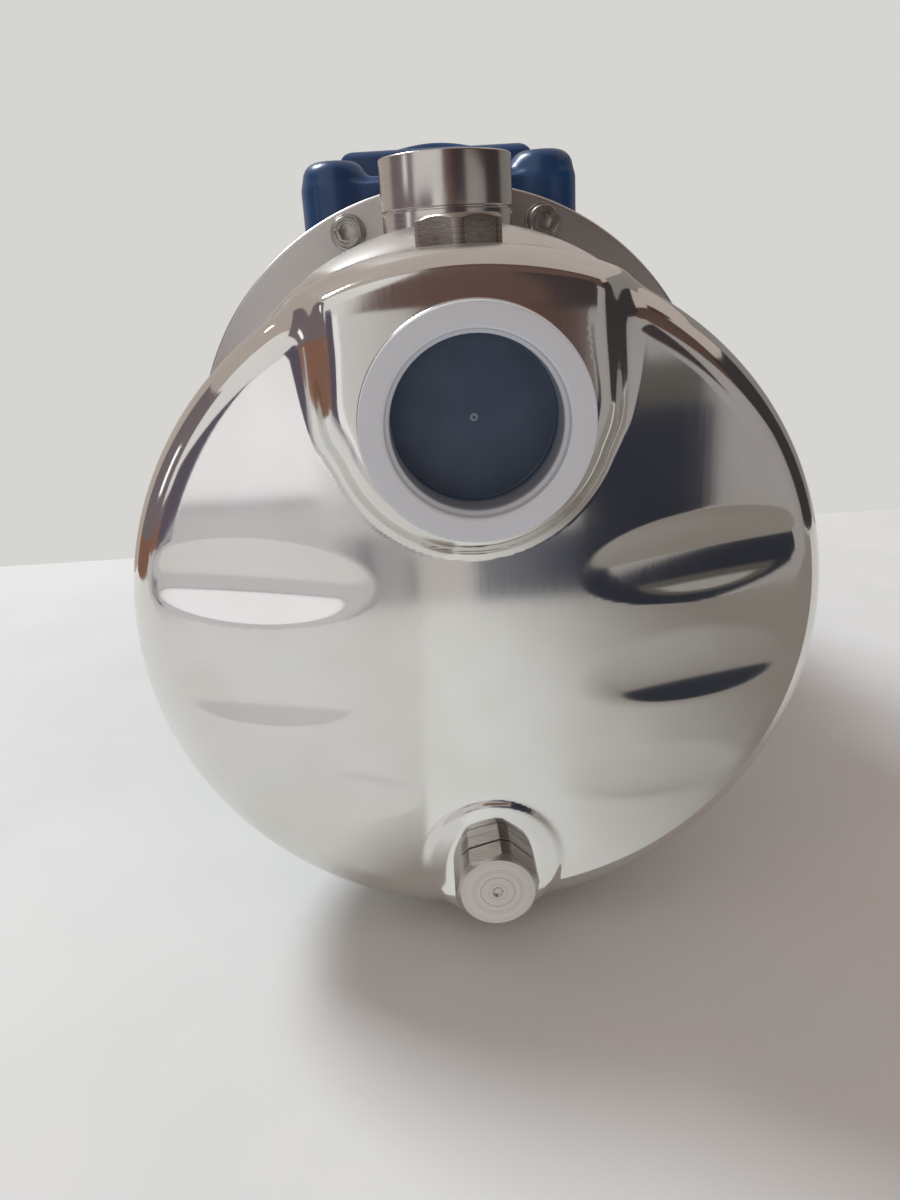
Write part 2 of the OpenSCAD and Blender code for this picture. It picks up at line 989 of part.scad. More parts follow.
// Shaft seal
seat_t = 5.6;
seat_r = cup_r - cup_wall;
face_t = 4;
face_r = 12.2;
spring_wire_r = 0.9;
spring_turns = 3;
spring_coil_gap = 0.6;
spring_sides = 8;
spring_steps = 20;
retainer_t = 1.5;
retainer_r = 12.4;
slinger_r = 20;
slinger_t = 2;
slinger_gap = 1.5;
seat_front = back_hub_reach - cup_t + cup_wall / 2 + seat_t;
face_front = seat_front + run_gap + face_t;
spring_len = spring_turns * (2 * spring_wire_r + spring_coil_gap) + 2 * spring_wire_r;
retainer_f = max(stack_start, face_front + spring_len + 2 * run_gap);

module seal_cup() {
    rear = back_hub_reach - cup_t + seat_gap;
    color(dark)
        on_shaft()
            difference() {
                disc(cup_r, rear, back_hub_reach);
                disc(seat_r + seat_gap, rear + cup_wall / 2, back_hub_reach + overrun);
                disc(back_hole_r, rear - overrun, back_hub_reach);
            }
}

module seal_seat() {
    color(ceramic)
        on_shaft()
            ring(seat_r, seal_shaft_r + rotor_gap, seat_front - seat_t + seat_gap, seat_front);
}

module seal_face() {
    color(dark)
        on_shaft()
            ring(face_r, seal_shaft_r + run_gap, seat_front + run_gap, face_front);
}

// The seal's spring is one unbroken tube wound round the shaft
spring_r = seal_shaft_r + 3 * spring_wire_r;
spring_low = face_front + spring_wire_r + run_gap;
spring_high = retainer_f - spring_wire_r - run_gap;
spring_points = [
    for (i = [0 : spring_turns * spring_steps])
        let (a = i * 360 / spring_steps, s = i / (spring_turns * spring_steps))
            [spring_r * cos(a), spring_r * sin(a), spring_low + (spring_high - spring_low) * s]
];
spring_mesh = [
    for (i = [0 : len(spring_points) - 1])
        for (j = [0 : spring_sides - 1])
            let (
                a = i * 360 / spring_steps,
                b = j * 360 / spring_sides,
                out = [cos(a), sin(a), 0]
            )
                spring_points[i] + spring_wire_r * (out * cos(b) + [0, 0, sin(b)])
];
spring_faces = [
    [for (j = [0 : spring_sides - 1]) j],
    for (i = [0 : len(spring_points) - 2])
        for (j = [0 : spring_sides - 1])
            for (half = [0, 1])
                let (
                    a = i * spring_sides + j,
                    b = i * spring_sides + (j + 1) % spring_sides
                )
                    half == 0 ? [a, a + spring_sides, b] : [b, a + spring_sides, b + spring_sides],
    [for (j = [spring_sides - 1 : -1 : 0]) (len(spring_points) - 1) * spring_sides + j]
];

module seal_spring() {
    color(satin)
        on_shaft()
            polyhedron(points = spring_mesh, faces = spring_faces);
}

module spring_retainer() {
    color(satin)
        on_shaft()
            ring(retainer_r, seal_shaft_r + run_gap, retainer_f, retainer_f + retainer_t);
}

module slinger() {
    rear = bracket_front - slinger_gap - slinger_t;
    color(dark)
        on_shaft()
            ring(slinger_r, seal_shaft_r + run_gap, rear, rear + slinger_t);
}

// Bearings: two rings and a row of balls
ball_circle_r = (bearing_r + journal_r) / 2;
land_gap = 0.8;

module race(r_out, r_in, f) {
    difference() {
        ring(r_out, r_in, f, f + bearing_w);
        translate([0, 0, f + bearing_w / 2])
            rotate_extrude()
                translate([ball_circle_r, 0])
                    circle(r = ball_r + run_gap);
    }
}

module bearing_outer(f) {
    color(satin)
        on_shaft()
            race(bearing_r, ball_circle_r + ball_r - land_gap, f);
}

module bearing_inner(f) {
    color(satin)
        on_shaft()
            race(ball_circle_r - ball_r + land_gap, journal_r + run_gap, f);
}

module bearing_balls(f) {
    color(steel)
        on_shaft()
            for (i = [0 : ball_count - 1])
                rotate(i * 360 / ball_count)
                    translate([ball_circle_r, 0, f + bearing_w / 2])
                        sphere(r = ball_r);
}

module front_bearing_outer() { bearing_outer(front_bearing_f); }
module front_bearing_inner() { bearing_inner(front_bearing_f); }
module front_bearing_balls() { bearing_balls(front_bearing_f); }
module rear_bearing_outer() { bearing_outer(rear_bearing_f); }
module rear_bearing_inner() { bearing_inner(rear_bearing_f); }
module rear_bearing_balls() { bearing_balls(rear_bearing_f); }

// Motor bracket between pump and motor
drip_r = 50;
drip_wall = 4;
bracket_spigot = 4;
tie_circle_r = 64;
tie_r = 2.5;
tie_grip = 8;
tie_count = 4;
slot_w = 32;

module tie_places() {
    for (i = [0 : tie_count - 1])
        rotate(180 / tie_count + i * 360 / tie_count)
            translate([0, tie_circle_r, 0])
                children();
}

module motor_bracket() {
    drip_rear = frame_front + bearing_w + drip_wall;
    spigot_end = frame_front - bracket_spigot;
    color(blue)
        difference() {
            on_shaft()
                difference() {
                    union() {
                        disc(flange_r, bracket_step, bracket_front);
                        disc(bracket_r, frame_front, bracket_step + overrun);
                        disc(frame_bore_r - seat_gap, spigot_end, frame_front + overrun);
                    }
                    disc(drip_r, drip_rear, bracket_front + overrun);
                    disc(rotor_seat_r + rotor_gap, frame_front - overrun, bracket_front);
                    disc(bearing_r + run_gap, spigot_end - overrun, frame_front + bearing_w);
                    ring(
                        frame_bore_r - drip_wall, bearing_r + drip_wall,
                        spigot_end - overrun, frame_front
                    );
                    for (side = [-1, 1])
                        translate([side * bracket_r, 0, (drip_rear + bracket_step) / 2])
                            cube([bracket_r, slot_w, bracket_step - drip_rear], center = true);
                    screw_places()
                        disc(screw_r + run_gap, bracket_step - overrun, bracket_front + overrun);
                    tie_places()
                        disc(tie_r + run_gap, frame_front - overrun, frame_front + tie_grip);
                }
            foot_bolt_places()
                translate([0, 0, shaft_h - bracket_r - foot_t])
                    cylinder(r = foot_bolt_r + run_gap, h = foot_bolt_bite + 2 * foot_t);
        }
}

// Motor frame with its fins
fin_root = 1;
fin_setback = 1.5;
rod_clear = 6;
top_pad_w = 60;
top_pad_len = 70;
top_pad_start = 3;

// Distance along the rod circle from a fin to the nearest clamping rod
function rod_apart(angle) =
    let (step = 360 / tie_count, off = abs(angle % step - step / 2))
        tie_circle_r * sin(off);

module motor_frame() {
    out_r = frame_bore_r + frame_wall;
    color(blue)
        on_shaft()
            difference() {
                union() {
                    ring(out_r, frame_bore_r, frame_rear, frame_front - run_gap);
                    difference() {
                        for (i = [0 : fin_count - 1])
                            if (rod_apart(i * 360 / fin_count) > rod_clear + fin_t)
                                rotate(i * 360 / fin_count)
                                    translate([-fin_t / 2, out_r - fin_root, frame_rear + fin_setback])
                                        cube([
                                            fin_t, fin_r - out_r + fin_root, frame_len - 2 * fin_setback
                                        ]);
                        translate([-top_pad_w / 2, 0, frame_rear - overrun])
                            cube([top_pad_w, fin_r + overrun, frame_len + 2 * overrun]);
                    }
                    translate([-top_pad_w / 2, 0, frame_front - top_pad_start - top_pad_len])
                        cube([top_pad_w, box_base_h, top_pad_len]);
                }
                disc(frame_bore_r, frame_rear - overrun, frame_front + overrun);
            }
}

// Stator and rotor
winding_len = 16;
winding_gap = 2.5;
slot_count = 24;
slot_depth = 12;
stator_slot_w = 3;
end_ring_t = 5;
core_mid = (frame_front + frame_rear) / 2;

module stator_core() {
    low = core_mid - core_len / 2;
    color(core_grey)
        on_shaft()
            difference() {
                ring(frame_bore_r - run_gap, stator_bore_r, low, low + core_len);
                for (i = [0 : slot_count - 1])
                    rotate(i * 360 / slot_count)
                        translate([-stator_slot_w / 2, 0, low - overrun])
                            cube([stator_slot_w, stator_bore_r + slot_depth, core_len + 2 * overrun]);
            }
}

module stator_windings() {
    mid_r = (frame_bore_r + stator_bore_r) / 2;
    half_w = (frame_bore_r - stator_bore_r) / 2 - winding_gap;
    color(copper)
        on_shaft()
            for (side = [-1, 1])
                translate([0, 0, core_mid + side * (core_len / 2 + winding_len / 2 + run_gap)])
                    rotate_extrude()
                        translate([mid_r - half_w, -winding_len / 2])
                            square([2 * half_w, winding_len]);
}

module rotor_core() {
    low = core_mid - core_len / 2;
    r = stator_bore_r - air_gap;
    color(core_grey)
        on_shaft()
            difference() {
                union() {
                    disc(r, low, low + core_len);
                    disc(r - end_ring_t, low - end_ring_t, low + core_len + end_ring_t);
                }
                disc(
                    rotor_seat_r + run_gap,
                    low - end_ring_t - overrun, low + core_len + end_ring_t + overrun
                );
            }
}

// Rear shield, the rods that clamp the motor, the fan and its cover
shield_r = 61;
shield_web = 5;
lobe_pad_r = 8;
cover_r = fin_r;
cover_lap = 8;
cover_screw_r = 2;
cover_screw_head_r = 3.6;
cover_screw_head_t = 2;
cover_screw_len = 7;
rod_head_r = 4.6;
rod_head_t = 4;
shaft_hole_r = 10;

module cover_screw_places() {
    for (i = [0 : tie_count - 1])
        rotate(i * 360 / tie_count)
            translate([0, 0, shield_rear + cover_lap / 2])
                rotate([-90, 0, 0])
                    children();
}

module rear_shield() {
    in_r = cover_r - cover_wall - seat_gap;
    color(blue)
        on_shaft()
            difference() {
                union() {
                    disc(shield_r, shield_rear, frame_rear);
                    disc(bearing_r + shield_web, rear_bearing_f, rear_bearing_f + bearing_w);
                    tie_places()
                        disc(rod_clear - seat_gap, shield_rear, frame_rear);
                    intersection() {
                        cover_screw_places()
                            disc(lobe_pad_r, shield_r - lobe_pad_r, in_r);
                        disc(in_r, shield_rear, frame_rear);
                    }
                }
                disc(bearing_r + run_gap, rear_bearing_f, rear_bearing_f + bearing_w + overrun);
                disc(shaft_hole_r, shield_rear - overrun, frame_rear + overrun);
                ring(
                    shield_r - shield_web, bearing_r + shield_web,
                    shield_rear + shield_web, frame_rear + overrun
                );
                tie_places()
                    disc(tie_r + run_gap, shield_rear - overrun, frame_rear + overrun);
                cover_screw_places()
                    disc(cover_screw_r + run_gap, cover_r - cover_wall - cover_screw_len - overrun, cover_r);
            }
}

module tie_rods() {
    color(satin)
        on_shaft()
            tie_places() {
                disc(tie_r, shield_rear - rod_head_t, frame_front + tie_grip);
                translate([0, 0, shield_rear - rod_head_t])
                    cylinder(r = rod_head_r, h = rod_head_t - run_gap, $fn = 6);
            }
}

fan_hub_r = 14;
blade_count = 9;
blade_t = 2;
fan_web_t = 2.5;

module cooling_fan() {
    low = shaft_fan_end;
    color(dark)
        on_shaft()
            difference() {
                union() {
                    disc(fan_hub_r, low, low + fan_w);
                    disc(fan_r, low + fan_w - fan_web_t, low + fan_w);
                    for (i = [0 : blade_count - 1])
                        rotate(i * 360 / blade_count)
                            translate([-blade_t / 2, fan_hub_r - blade_t, low])
                                cube([blade_t, fan_r - fan_hub_r, fan_w - fan_web_t / 2]);
                }
                disc(fan_seat_r + run_gap, low - overrun, low + fan_w + overrun);
            }
}

grille_rings = 7;
grille_first_r = 12;
grille_bar = 3;
spoke_w = 5;
spoke_count = 4;

module fan_cover() {
    grille_step = (cover_r - 3 * grille_bar - grille_first_r) / grille_rings;
    color(blue)
        on_shaft()
            difference() {
                disc(cover_r, cover_rear, shield_rear + cover_lap);
                disc(cover_r - cover_wall, cover_rear + cover_wall, shield_rear + cover_lap + overrun);
                difference() {
                    for (i = [0 : grille_rings - 1])
                        ring(
                            grille_first_r + (i + 1) * grille_step - grille_bar,
                            grille_first_r + i * grille_step,
                            cover_rear - overrun, cover_rear + cover_wall + overrun
                        );
                    for (i = [0 : spoke_count - 1])
                        rotate(i * 180 / spoke_count)
                            translate([-spoke_w / 2, -cover_r, cover_rear - 2 * overrun])
                                cube([spoke_w, 2 * cover_r, cover_wall + 4 * overrun]);
                }
                cover_screw_places()
                    disc(cover_screw_r + seat_gap, shield_r, cover_r + overrun);
            }
}

module fan_cover_screws() {
    color(satin)
        on_shaft()
            cover_screw_places() {
                disc(cover_screw_r, cover_r - cover_wall - cover_screw_len, cover_r + overrun);
                disc(cover_screw_head_r, cover_r + seat_gap, cover_r + seat_gap + cover_screw_head_t);
            }
}

// Terminal box on top of the motor
base_t = 8;
seam_h = box_base_h + base_t;
skirt_h = seam_h + gasket_t;
lobe_round = lobe_r / 2;
box_body_h = lobe_h - lobe_r / 2;
box_step_h = box_body_h - lobe_r / 5;
gland_boss_r = 11;
gland_boss_t = 3;
gland_h = skirt_h + (box_step_h - skirt_h) / 2 + gland_boss_t / 2;
tier_half = 38;
tier_back = 26;
crown_r = 60;
crown_back = 44;
box_screw_r = 2;
box_screw_head_r = 3.8;
box_screw_head_t = 2.4;
box_screw_sink = 7;
box_screw_bite = 7;
screw_boss_r = 6.5;

// x across, y back from the box's front, z up from the shaft axis
module at_box() {
    translate([0, box_back - foot_back, shaft_h])
        children();
}

module box_corners() {
    for (x = [-1, 1])
        for (y = [lobe_r, box_len - lobe_r])
            translate([x * (box_w / 2 - lobe_r), y, 0])
                children();
}

module box_outline(inset) {
    translate([-box_w / 2 + lobe_r, inset])
        square([box_w - 2 * lobe_r, box_len - 2 * inset]);
    translate([-box_w / 2 + inset, lobe_r])
        square([box_w - 2 * inset, box_len - 2 * lobe_r]);
    box_corners()
        circle(r = lobe_r - inset);
}

module box_slab(inset, low, high) {
    translate([0, 0, low])
        linear_extrude(high - low)
            box_outline(inset);
}

module box_screw_bores(r, low, high) {
    box_corners()
        disc(r, low, high);
}

module box_base() {
    color(blue)
        at_box()
            difference() {
                box_slab(0, box_base_h + run_gap, seam_h);
                difference() {
                    box_slab(box_wall, box_base_h + box_wall, seam_h + overrun);
                    box_corners()
                        disc(screw_boss_r, box_base_h, seam_h + overrun);
                }
                box_screw_bores(box_screw_r + run_gap, box_base_h + box_wall / 2, seam_h + overrun);
            }
}

module box_gasket() {
    color(dark)
        at_box()
            difference() {
                box_slab(box_wall / 4, seam_h, skirt_h);
                difference() {
                    box_slab(box_wall, seam_h - overrun, skirt_h + overrun);
                    box_corners()
                        disc(screw_boss_r, seam_h - overrun, skirt_h + overrun);
                }
                box_screw_bores(box_screw_r + seat_gap, seam_h - overrun, skirt_h + overrun);
            }
}

module box_tier(inset) {
    round_r = lobe_r / 2;
    long = box_len - tier_back - lobe_r;
    translate([0, tier_back + inset, 0])
        rotate([-90, 0, 0])
            linear_extrude(long - 2 * inset) {
                translate([-tier_half + inset, -tier_h + round_r])
                    square([2 * (tier_half - inset), tier_h - round_r - skirt_h]);
                translate([-tier_half + round_r, -tier_h + inset])
                    square([2 * (tier_half - round_r), round_r]);
                for (side = [-1, 1])
                    translate([side * (tier_half - round_r), -tier_h + round_r])
                        circle(r = round_r - inset);
            }
}

module box_crown(inset) {
    long = box_len - crown_back - lobe_r;
    translate([0, crown_back + inset, crown_h - crown_r])
        rotate([-90, 0, 0])
            intersection() {
                cylinder(r = crown_r - inset, h = long - 2 * inset);
                translate([-tier_half + inset, -crown_r, 0])
                    cube([2 * (tier_half - inset), crown_h - skirt_h, long]);
            }
}

module box_lobe() {
    translate([0, 0, skirt_h])
        rotate_extrude() {
            square([lobe_r, lobe_h - lobe_round - skirt_h]);
            square([lobe_r - lobe_round, lobe_h - skirt_h]);
            translate([lobe_r - lobe_round, lobe_h - lobe_round - skirt_h])
                intersection() {
                    circle(r = lobe_round);
                    square(lobe_round);
                }
        }
}

module terminal_box() {
    color(blue)
        at_box()
            difference() {
                union() {
                    box_slab(0, skirt_h, box_step_h);
                    translate([-gland_boss_r, box_len - 2 * box_wall, skirt_h])
                        cube([
                            2 * gland_boss_r, 2 * box_wall + overrun,
                            gland_h - skirt_h + gland_boss_r / 2
                        ]);
                    box_slab(box_wall, box_step_h - run_gap, box_body_h);
                    box_corners()
                        box_lobe();
                    box_tier(0);
                    box_crown(0);
                    translate([0, box_len, gland_h])
                        rotate([-90, 0, 0])
                            disc(gland_boss_r, run_gap, gland_boss_t);
                }
                difference() {
                    union() {
                        box_slab(box_wall, skirt_h - overrun, box_step_h - box_wall);
                        box_slab(2 * box_wall, skirt_h, box_body_h - box_wall);
                        box_tier(box_wall);
                        box_crown(box_wall);
                    }
                    box_corners()
                        disc(screw_boss_r, skirt_h - overrun, lobe_h);
                }
                box_screw_bores(box_screw_r + seat_gap, skirt_h - overrun, lobe_h);
                box_screw_bores(box_screw_head_r + seat_gap, lobe_h - box_screw_sink, lobe_h + overrun);
                translate([0, box_len, gland_h])
                    rotate([90, 0, 0])
                        disc(gland_thread_r + run_gap, -gland_boss_t - overrun, 3 * box_wall);
            }
}

module box_screws() {
    seat_h = lobe_h - box_screw_sink;
    color(satin)
        at_box()
            box_corners()
                difference() {
                    union() {
                        disc(box_screw_r, seam_h - box_screw_bite + box_wall, seat_h + overrun);
                        disc(box_screw_head_r, seat_h, seat_h + box_screw_head_t);
                    }
                    translate([-box_screw_head_r, -box_screw_r / 5, seat_h + box_screw_head_t / 2])
                        cube([2 * box_screw_head_r, box_screw_r / 2.5, box_screw_head_t]);
                }
}

block_size = [30, 44, 12];
block_x = 18;
block_back = 34;
stud_count = 3;
terminal_r = 2;
terminal_h = 6;
can_r = 13.5;
can_share = 0.5;
can_x = -17;
can_gap = 0.3;

module terminal_block() {
    floor_h = box_base_h + box_wall;
    color(dark)
        at_box()
            translate([block_x - block_size[0] / 2, block_back, floor_h]) {
                cube(block_size);
                for (i = [0 : stud_count - 1])
                    for (side = [-1, 1])
                        translate([
                            (2 + side) * block_size[0] / 4,
                            (i + 1 / 2) * block_size[1] / stud_count,
                            block_size[2] - overrun
                        ])
                            cylinder(r = terminal_r, h = terminal_h + overrun);
            }
}

module capacitor() {
    floor_h = box_base_h + box_wall;
    color(plastic)
        at_box()
            translate([can_x, tier_back + 2 * box_wall, floor_h + can_r + can_gap])
                rotate([-90, 0, 0])
                cylinder(r = can_r, h = can_share * box_len);
}

gland_thread_r = 8;
gland_hex_af = 19;
gland_hex_t = 6;
gland_dome_r = 9;
gland_dome_t = 9;
gland_bore_r = 5;

module cable_gland() {
    color(dark)
        at_box()
            translate([0, box_len + gland_boss_t, gland_h])
                rotate([-90, 0, 0])
                    difference() {
                        union() {
                            disc(gland_thread_r, -2 * box_wall, overrun);
                            hexagon(gland_hex_af, seat_gap, gland_hex_t);
                            disc(gland_dome_r, gland_hex_t - overrun, gland_hex_t + gland_dome_t);
                        }
                        disc(gland_bore_r, -2 * box_wall - overrun, gland_hex_t + gland_dome_t + overrun);
                    }
}

// Foot, with a saddle under the bracket
foot_bolt_r = 4;
foot_bolt_x = 24;
foot_bolt_bite = 12;
foot_bolt_head_r = 6.5;
foot_bolt_head_t = 6;
foot_round = 10;
saddle_mid_y = (bracket_step + frame_front) / -2 - foot_back;

module foot_bolt_places() {
    for (side = [-1, 1])
        translate([side * foot_bolt_x, saddle_mid_y, 0])
            children();
}

module foot_plate() {
    difference() {
        union() {
            translate([-foot_w / 2 + foot_round, -foot_len / 2, 0])
                cube([foot_w - 2 * foot_round, foot_len, foot_t]);
            translate([-foot_w / 2, -foot_len / 2 + foot_round, 0])
                cube([foot_w, foot_len - 2 * foot_round, foot_t]);
            for (x = [-1, 1])
                for (y = [-1, 1])
                    translate([x * (foot_w / 2 - foot_round), y * (foot_len / 2 - foot_round), 0])
                        cylinder(r = foot_round, h = foot_t);
        }
        for (x = [-1, 1])
            for (y = [-1, 1])
                translate([x * foot_holes_x / 2, y * foot_holes_y / 2, -overrun])
                    cylinder(r = foot_hole_r, h = foot_t + 2 * overrun);
    }
}

module foot() {
    saddle_len = bracket_len - overrun;
    color(blue)
        difference() {
            union() {
                foot_plate();
                difference() {
                    translate([-saddle_w / 2, saddle_mid_y - saddle_len / 2, 0])
                        cube([saddle_w, saddle_len, shaft_h - bracket_r / 2]);
                    on_shaft()
                        disc(bracket_r + seat_gap, frame_rear, bracket_front);
                }
            }
            foot_bolt_places() {
                translate([0, 0, -overrun])
                    cylinder(r = foot_bolt_r + seat_gap, h = shaft_h);
                translate([0, 0, -overrun])
                    cylinder(r = foot_bolt_head_r + seat_gap, h = 2 * foot_bolt_head_t + overrun);
            }
        }
}

module foot_bolts() {
    top = shaft_h - bracket_r + foot_bolt_bite;
    color(satin)
        foot_bolt_places() {
            translate([0, 0, foot_bolt_head_t])
                cylinder(r = foot_bolt_r, h = top - foot_bolt_head_t);
            translate([0, 0, foot_bolt_head_t])
                cylinder(r = foot_bolt_head_r, h = foot_bolt_head_t, $fn = 6);
        }
}

casing_shell();
casing_flange();
casing_screws();
casing_washers();
casing_seal();
back_plate();
suction_socket();
transit_plug();
discharge_socket();
filler_boss();
filler_plug();
filler_seal();
drain_boss();
drain_plug();
drain_seal();
inlet_chamber();
stage_case_1();
stage_case_2();
stage_case_3();
diffuser_1();
diffuser_2();
diffuser_3();
impeller_1();
impeller_2();
impeller_3();
wear_rings();
impeller_spacers();
impeller_nut();
shaft();
seal_seat();
seal_cup();
seal_face();
seal_spring();
spring_retainer();
slinger();
motor_bracket();
front_bearing_outer();
front_bearing_inner();
front_bearing_balls();
motor_frame();
stator_core();
stator_windings();
rotor_core();
rear_shield();
rear_bearing_outer();
rear_bearing_inner();
rear_bearing_balls();
tie_rods();
cooling_fan();
fan_cover();
fan_cover_screws();
box_base();
box_gasket();
terminal_box();
box_screws();
terminal_block();
capacitor();
cable_gland();
foot();
foot_bolts();
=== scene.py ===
# %% [markdown]
# # A multistage pump in polished steel
# The pump stands on its foot with the inlet towards the camera. Its construction comes from the packed
# frame, and this file gives it its finish. Pieces that show from the front are modelled again with soft
# edges and true blends, and the others keep the frame's meshes under new materials.

import json
import math

import bmesh
import bpy
import numpy as np
from mathutils import Matrix, Vector


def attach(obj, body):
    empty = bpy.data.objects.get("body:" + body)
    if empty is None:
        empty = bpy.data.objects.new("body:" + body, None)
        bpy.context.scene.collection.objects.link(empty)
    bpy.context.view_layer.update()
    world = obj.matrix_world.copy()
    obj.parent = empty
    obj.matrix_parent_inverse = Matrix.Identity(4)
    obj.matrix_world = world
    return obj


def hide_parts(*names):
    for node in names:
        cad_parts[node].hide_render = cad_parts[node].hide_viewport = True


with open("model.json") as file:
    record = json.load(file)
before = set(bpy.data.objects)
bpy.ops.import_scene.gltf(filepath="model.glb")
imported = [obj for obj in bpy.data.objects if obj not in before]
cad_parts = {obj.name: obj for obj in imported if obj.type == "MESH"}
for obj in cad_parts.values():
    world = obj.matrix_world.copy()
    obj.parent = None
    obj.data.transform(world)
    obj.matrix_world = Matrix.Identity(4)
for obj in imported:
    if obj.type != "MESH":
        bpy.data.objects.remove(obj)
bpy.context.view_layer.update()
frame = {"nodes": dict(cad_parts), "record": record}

# %% [markdown]
# ## The pump's own coordinates
# Everything on the pump is measured from its shaft: x across, h up from the shaft axis and f forward from
# the front face of the clamp flange, all in millimetres. One matrix turns these into the frame's metres,
# so that each size below can be read off the pump itself.

# %% Coordinates
MM = 0.001
FOOT_BACK = 62
SHAFT_H = 116
INLET_H = 32.3
INLET_F = 134.2
OUTLET_F = 24.4
FILLER_F = 92
DRAIN_H = -91.7
SHAFT = (
    Matrix.Scale(MM, 4)
    @ Matrix.Translation((0, -FOOT_BACK, SHAFT_H))
    @ Matrix.Rotation(math.radians(90), 4, "X")
)


def at(x, h, f):
    """The frame's place for a point on the pump."""
    return SHAFT @ Vector((x, h, f))


def upright(f, h):
    """A matrix for turned pieces that stand on end, with their own z pointing up."""
    return Matrix.Scale(MM, 4) @ Matrix.Translation((0, -FOOT_BACK - f, SHAFT_H + h))


print("shaft axis at", at(0, 0, 0), "inlet at", at(0, INLET_H, INLET_F))

# %% [markdown]
# ## Camera
# The view is wide, and looks down on the inlet from close by. The camera's place, turn and lens were
# fitted to the outline of the casing, the flange and the ports.

# %% Camera
CAMERA_AT = Vector((-11.4, -390.7, 177.6)) * MM
CAMERA_YAW = math.radians(0.96)
CAMERA_PITCH = math.radians(19.44)
CAMERA_ROLL = math.radians(3.44)
FOCAL_PX = 900
IMAGE_PX = 1200
SENSOR = 36.0

ahead = Vector((
    math.sin(CAMERA_YAW) * math.cos(CAMERA_PITCH),
    math.cos(CAMERA_YAW) * math.cos(CAMERA_PITCH),
    -math.sin(CAMERA_PITCH),
))
flat_side = Vector((math.cos(CAMERA_YAW), -math.sin(CAMERA_YAW), 0))
flat_down = ahead.cross(flat_side)
rightward = flat_side * math.cos(CAMERA_ROLL) + flat_down * math.sin(CAMERA_ROLL)
upward = flat_side * math.sin(CAMERA_ROLL) - flat_down * math.cos(CAMERA_ROLL)

camera = bpy.data.objects.new("camera", bpy.data.cameras.new("camera"))
bpy.context.scene.collection.objects.link(camera)
camera.matrix_world = Matrix((
    (rightward.x, upward.x, -ahead.x, CAMERA_AT.x),
    (rightward.y, upward.y, -ahead.y, CAMERA_AT.y),
    (rightward.z, upward.z, -ahead.z, CAMERA_AT.z),
    (0, 0, 0, 1),
))
camera.data.sensor_fit = "VERTICAL"
camera.data.sensor_height = SENSOR
camera.data.lens = SENSOR * FOCAL_PX / IMAGE_PX
camera.data.clip_start = 0.01
camera.data.dof.use_dof = False
bpy.context.scene.camera = camera
bpy.context.scene.view_settings.view_transform = "Standard"
print("lens", round(camera.data.lens, 2), "mm")

# %% [markdown]
# ## Shader sums
# A material is easier to read as a sum than as a web of nodes. Wire wraps one socket and adds a Math node
# for each Python operator, and Finish makes every other node through one method.

# %% Wires
class Wire:
    """One output socket that can stand in a Python sum."""

    def __init__(self, finish, socket):
        self.finish = finish
        self.socket = socket

    def math(self, operation, *terms):
        return self.finish.node("ShaderNodeMath", {"operation": operation}, terms)

    def __add__(self, other):
        return self.math("ADD", self, other)

    def __radd__(self, other):
        return self.math("ADD", other, self)

    def __sub__(self, other):
        return self.math("SUBTRACT", self, other)

    def __rsub__(self, other):
        return self.math("SUBTRACT", other, self)

    def __mul__(self, other):
        return self.math("MULTIPLY", self, other)

    def __rmul__(self, other):
        return self.math("MULTIPLY", other, self)

    def ramp(self, low, high):
        """0 below low, 1 above high and smooth between."""
        return self.finish.node(
            "ShaderNodeMapRange",
            {"interpolation_type": "SMOOTHSTEP"},
            {"Value": self, "From Min": low, "From Max": high},
        )


# %% Finishes
TOOL_MARKS = 3.5


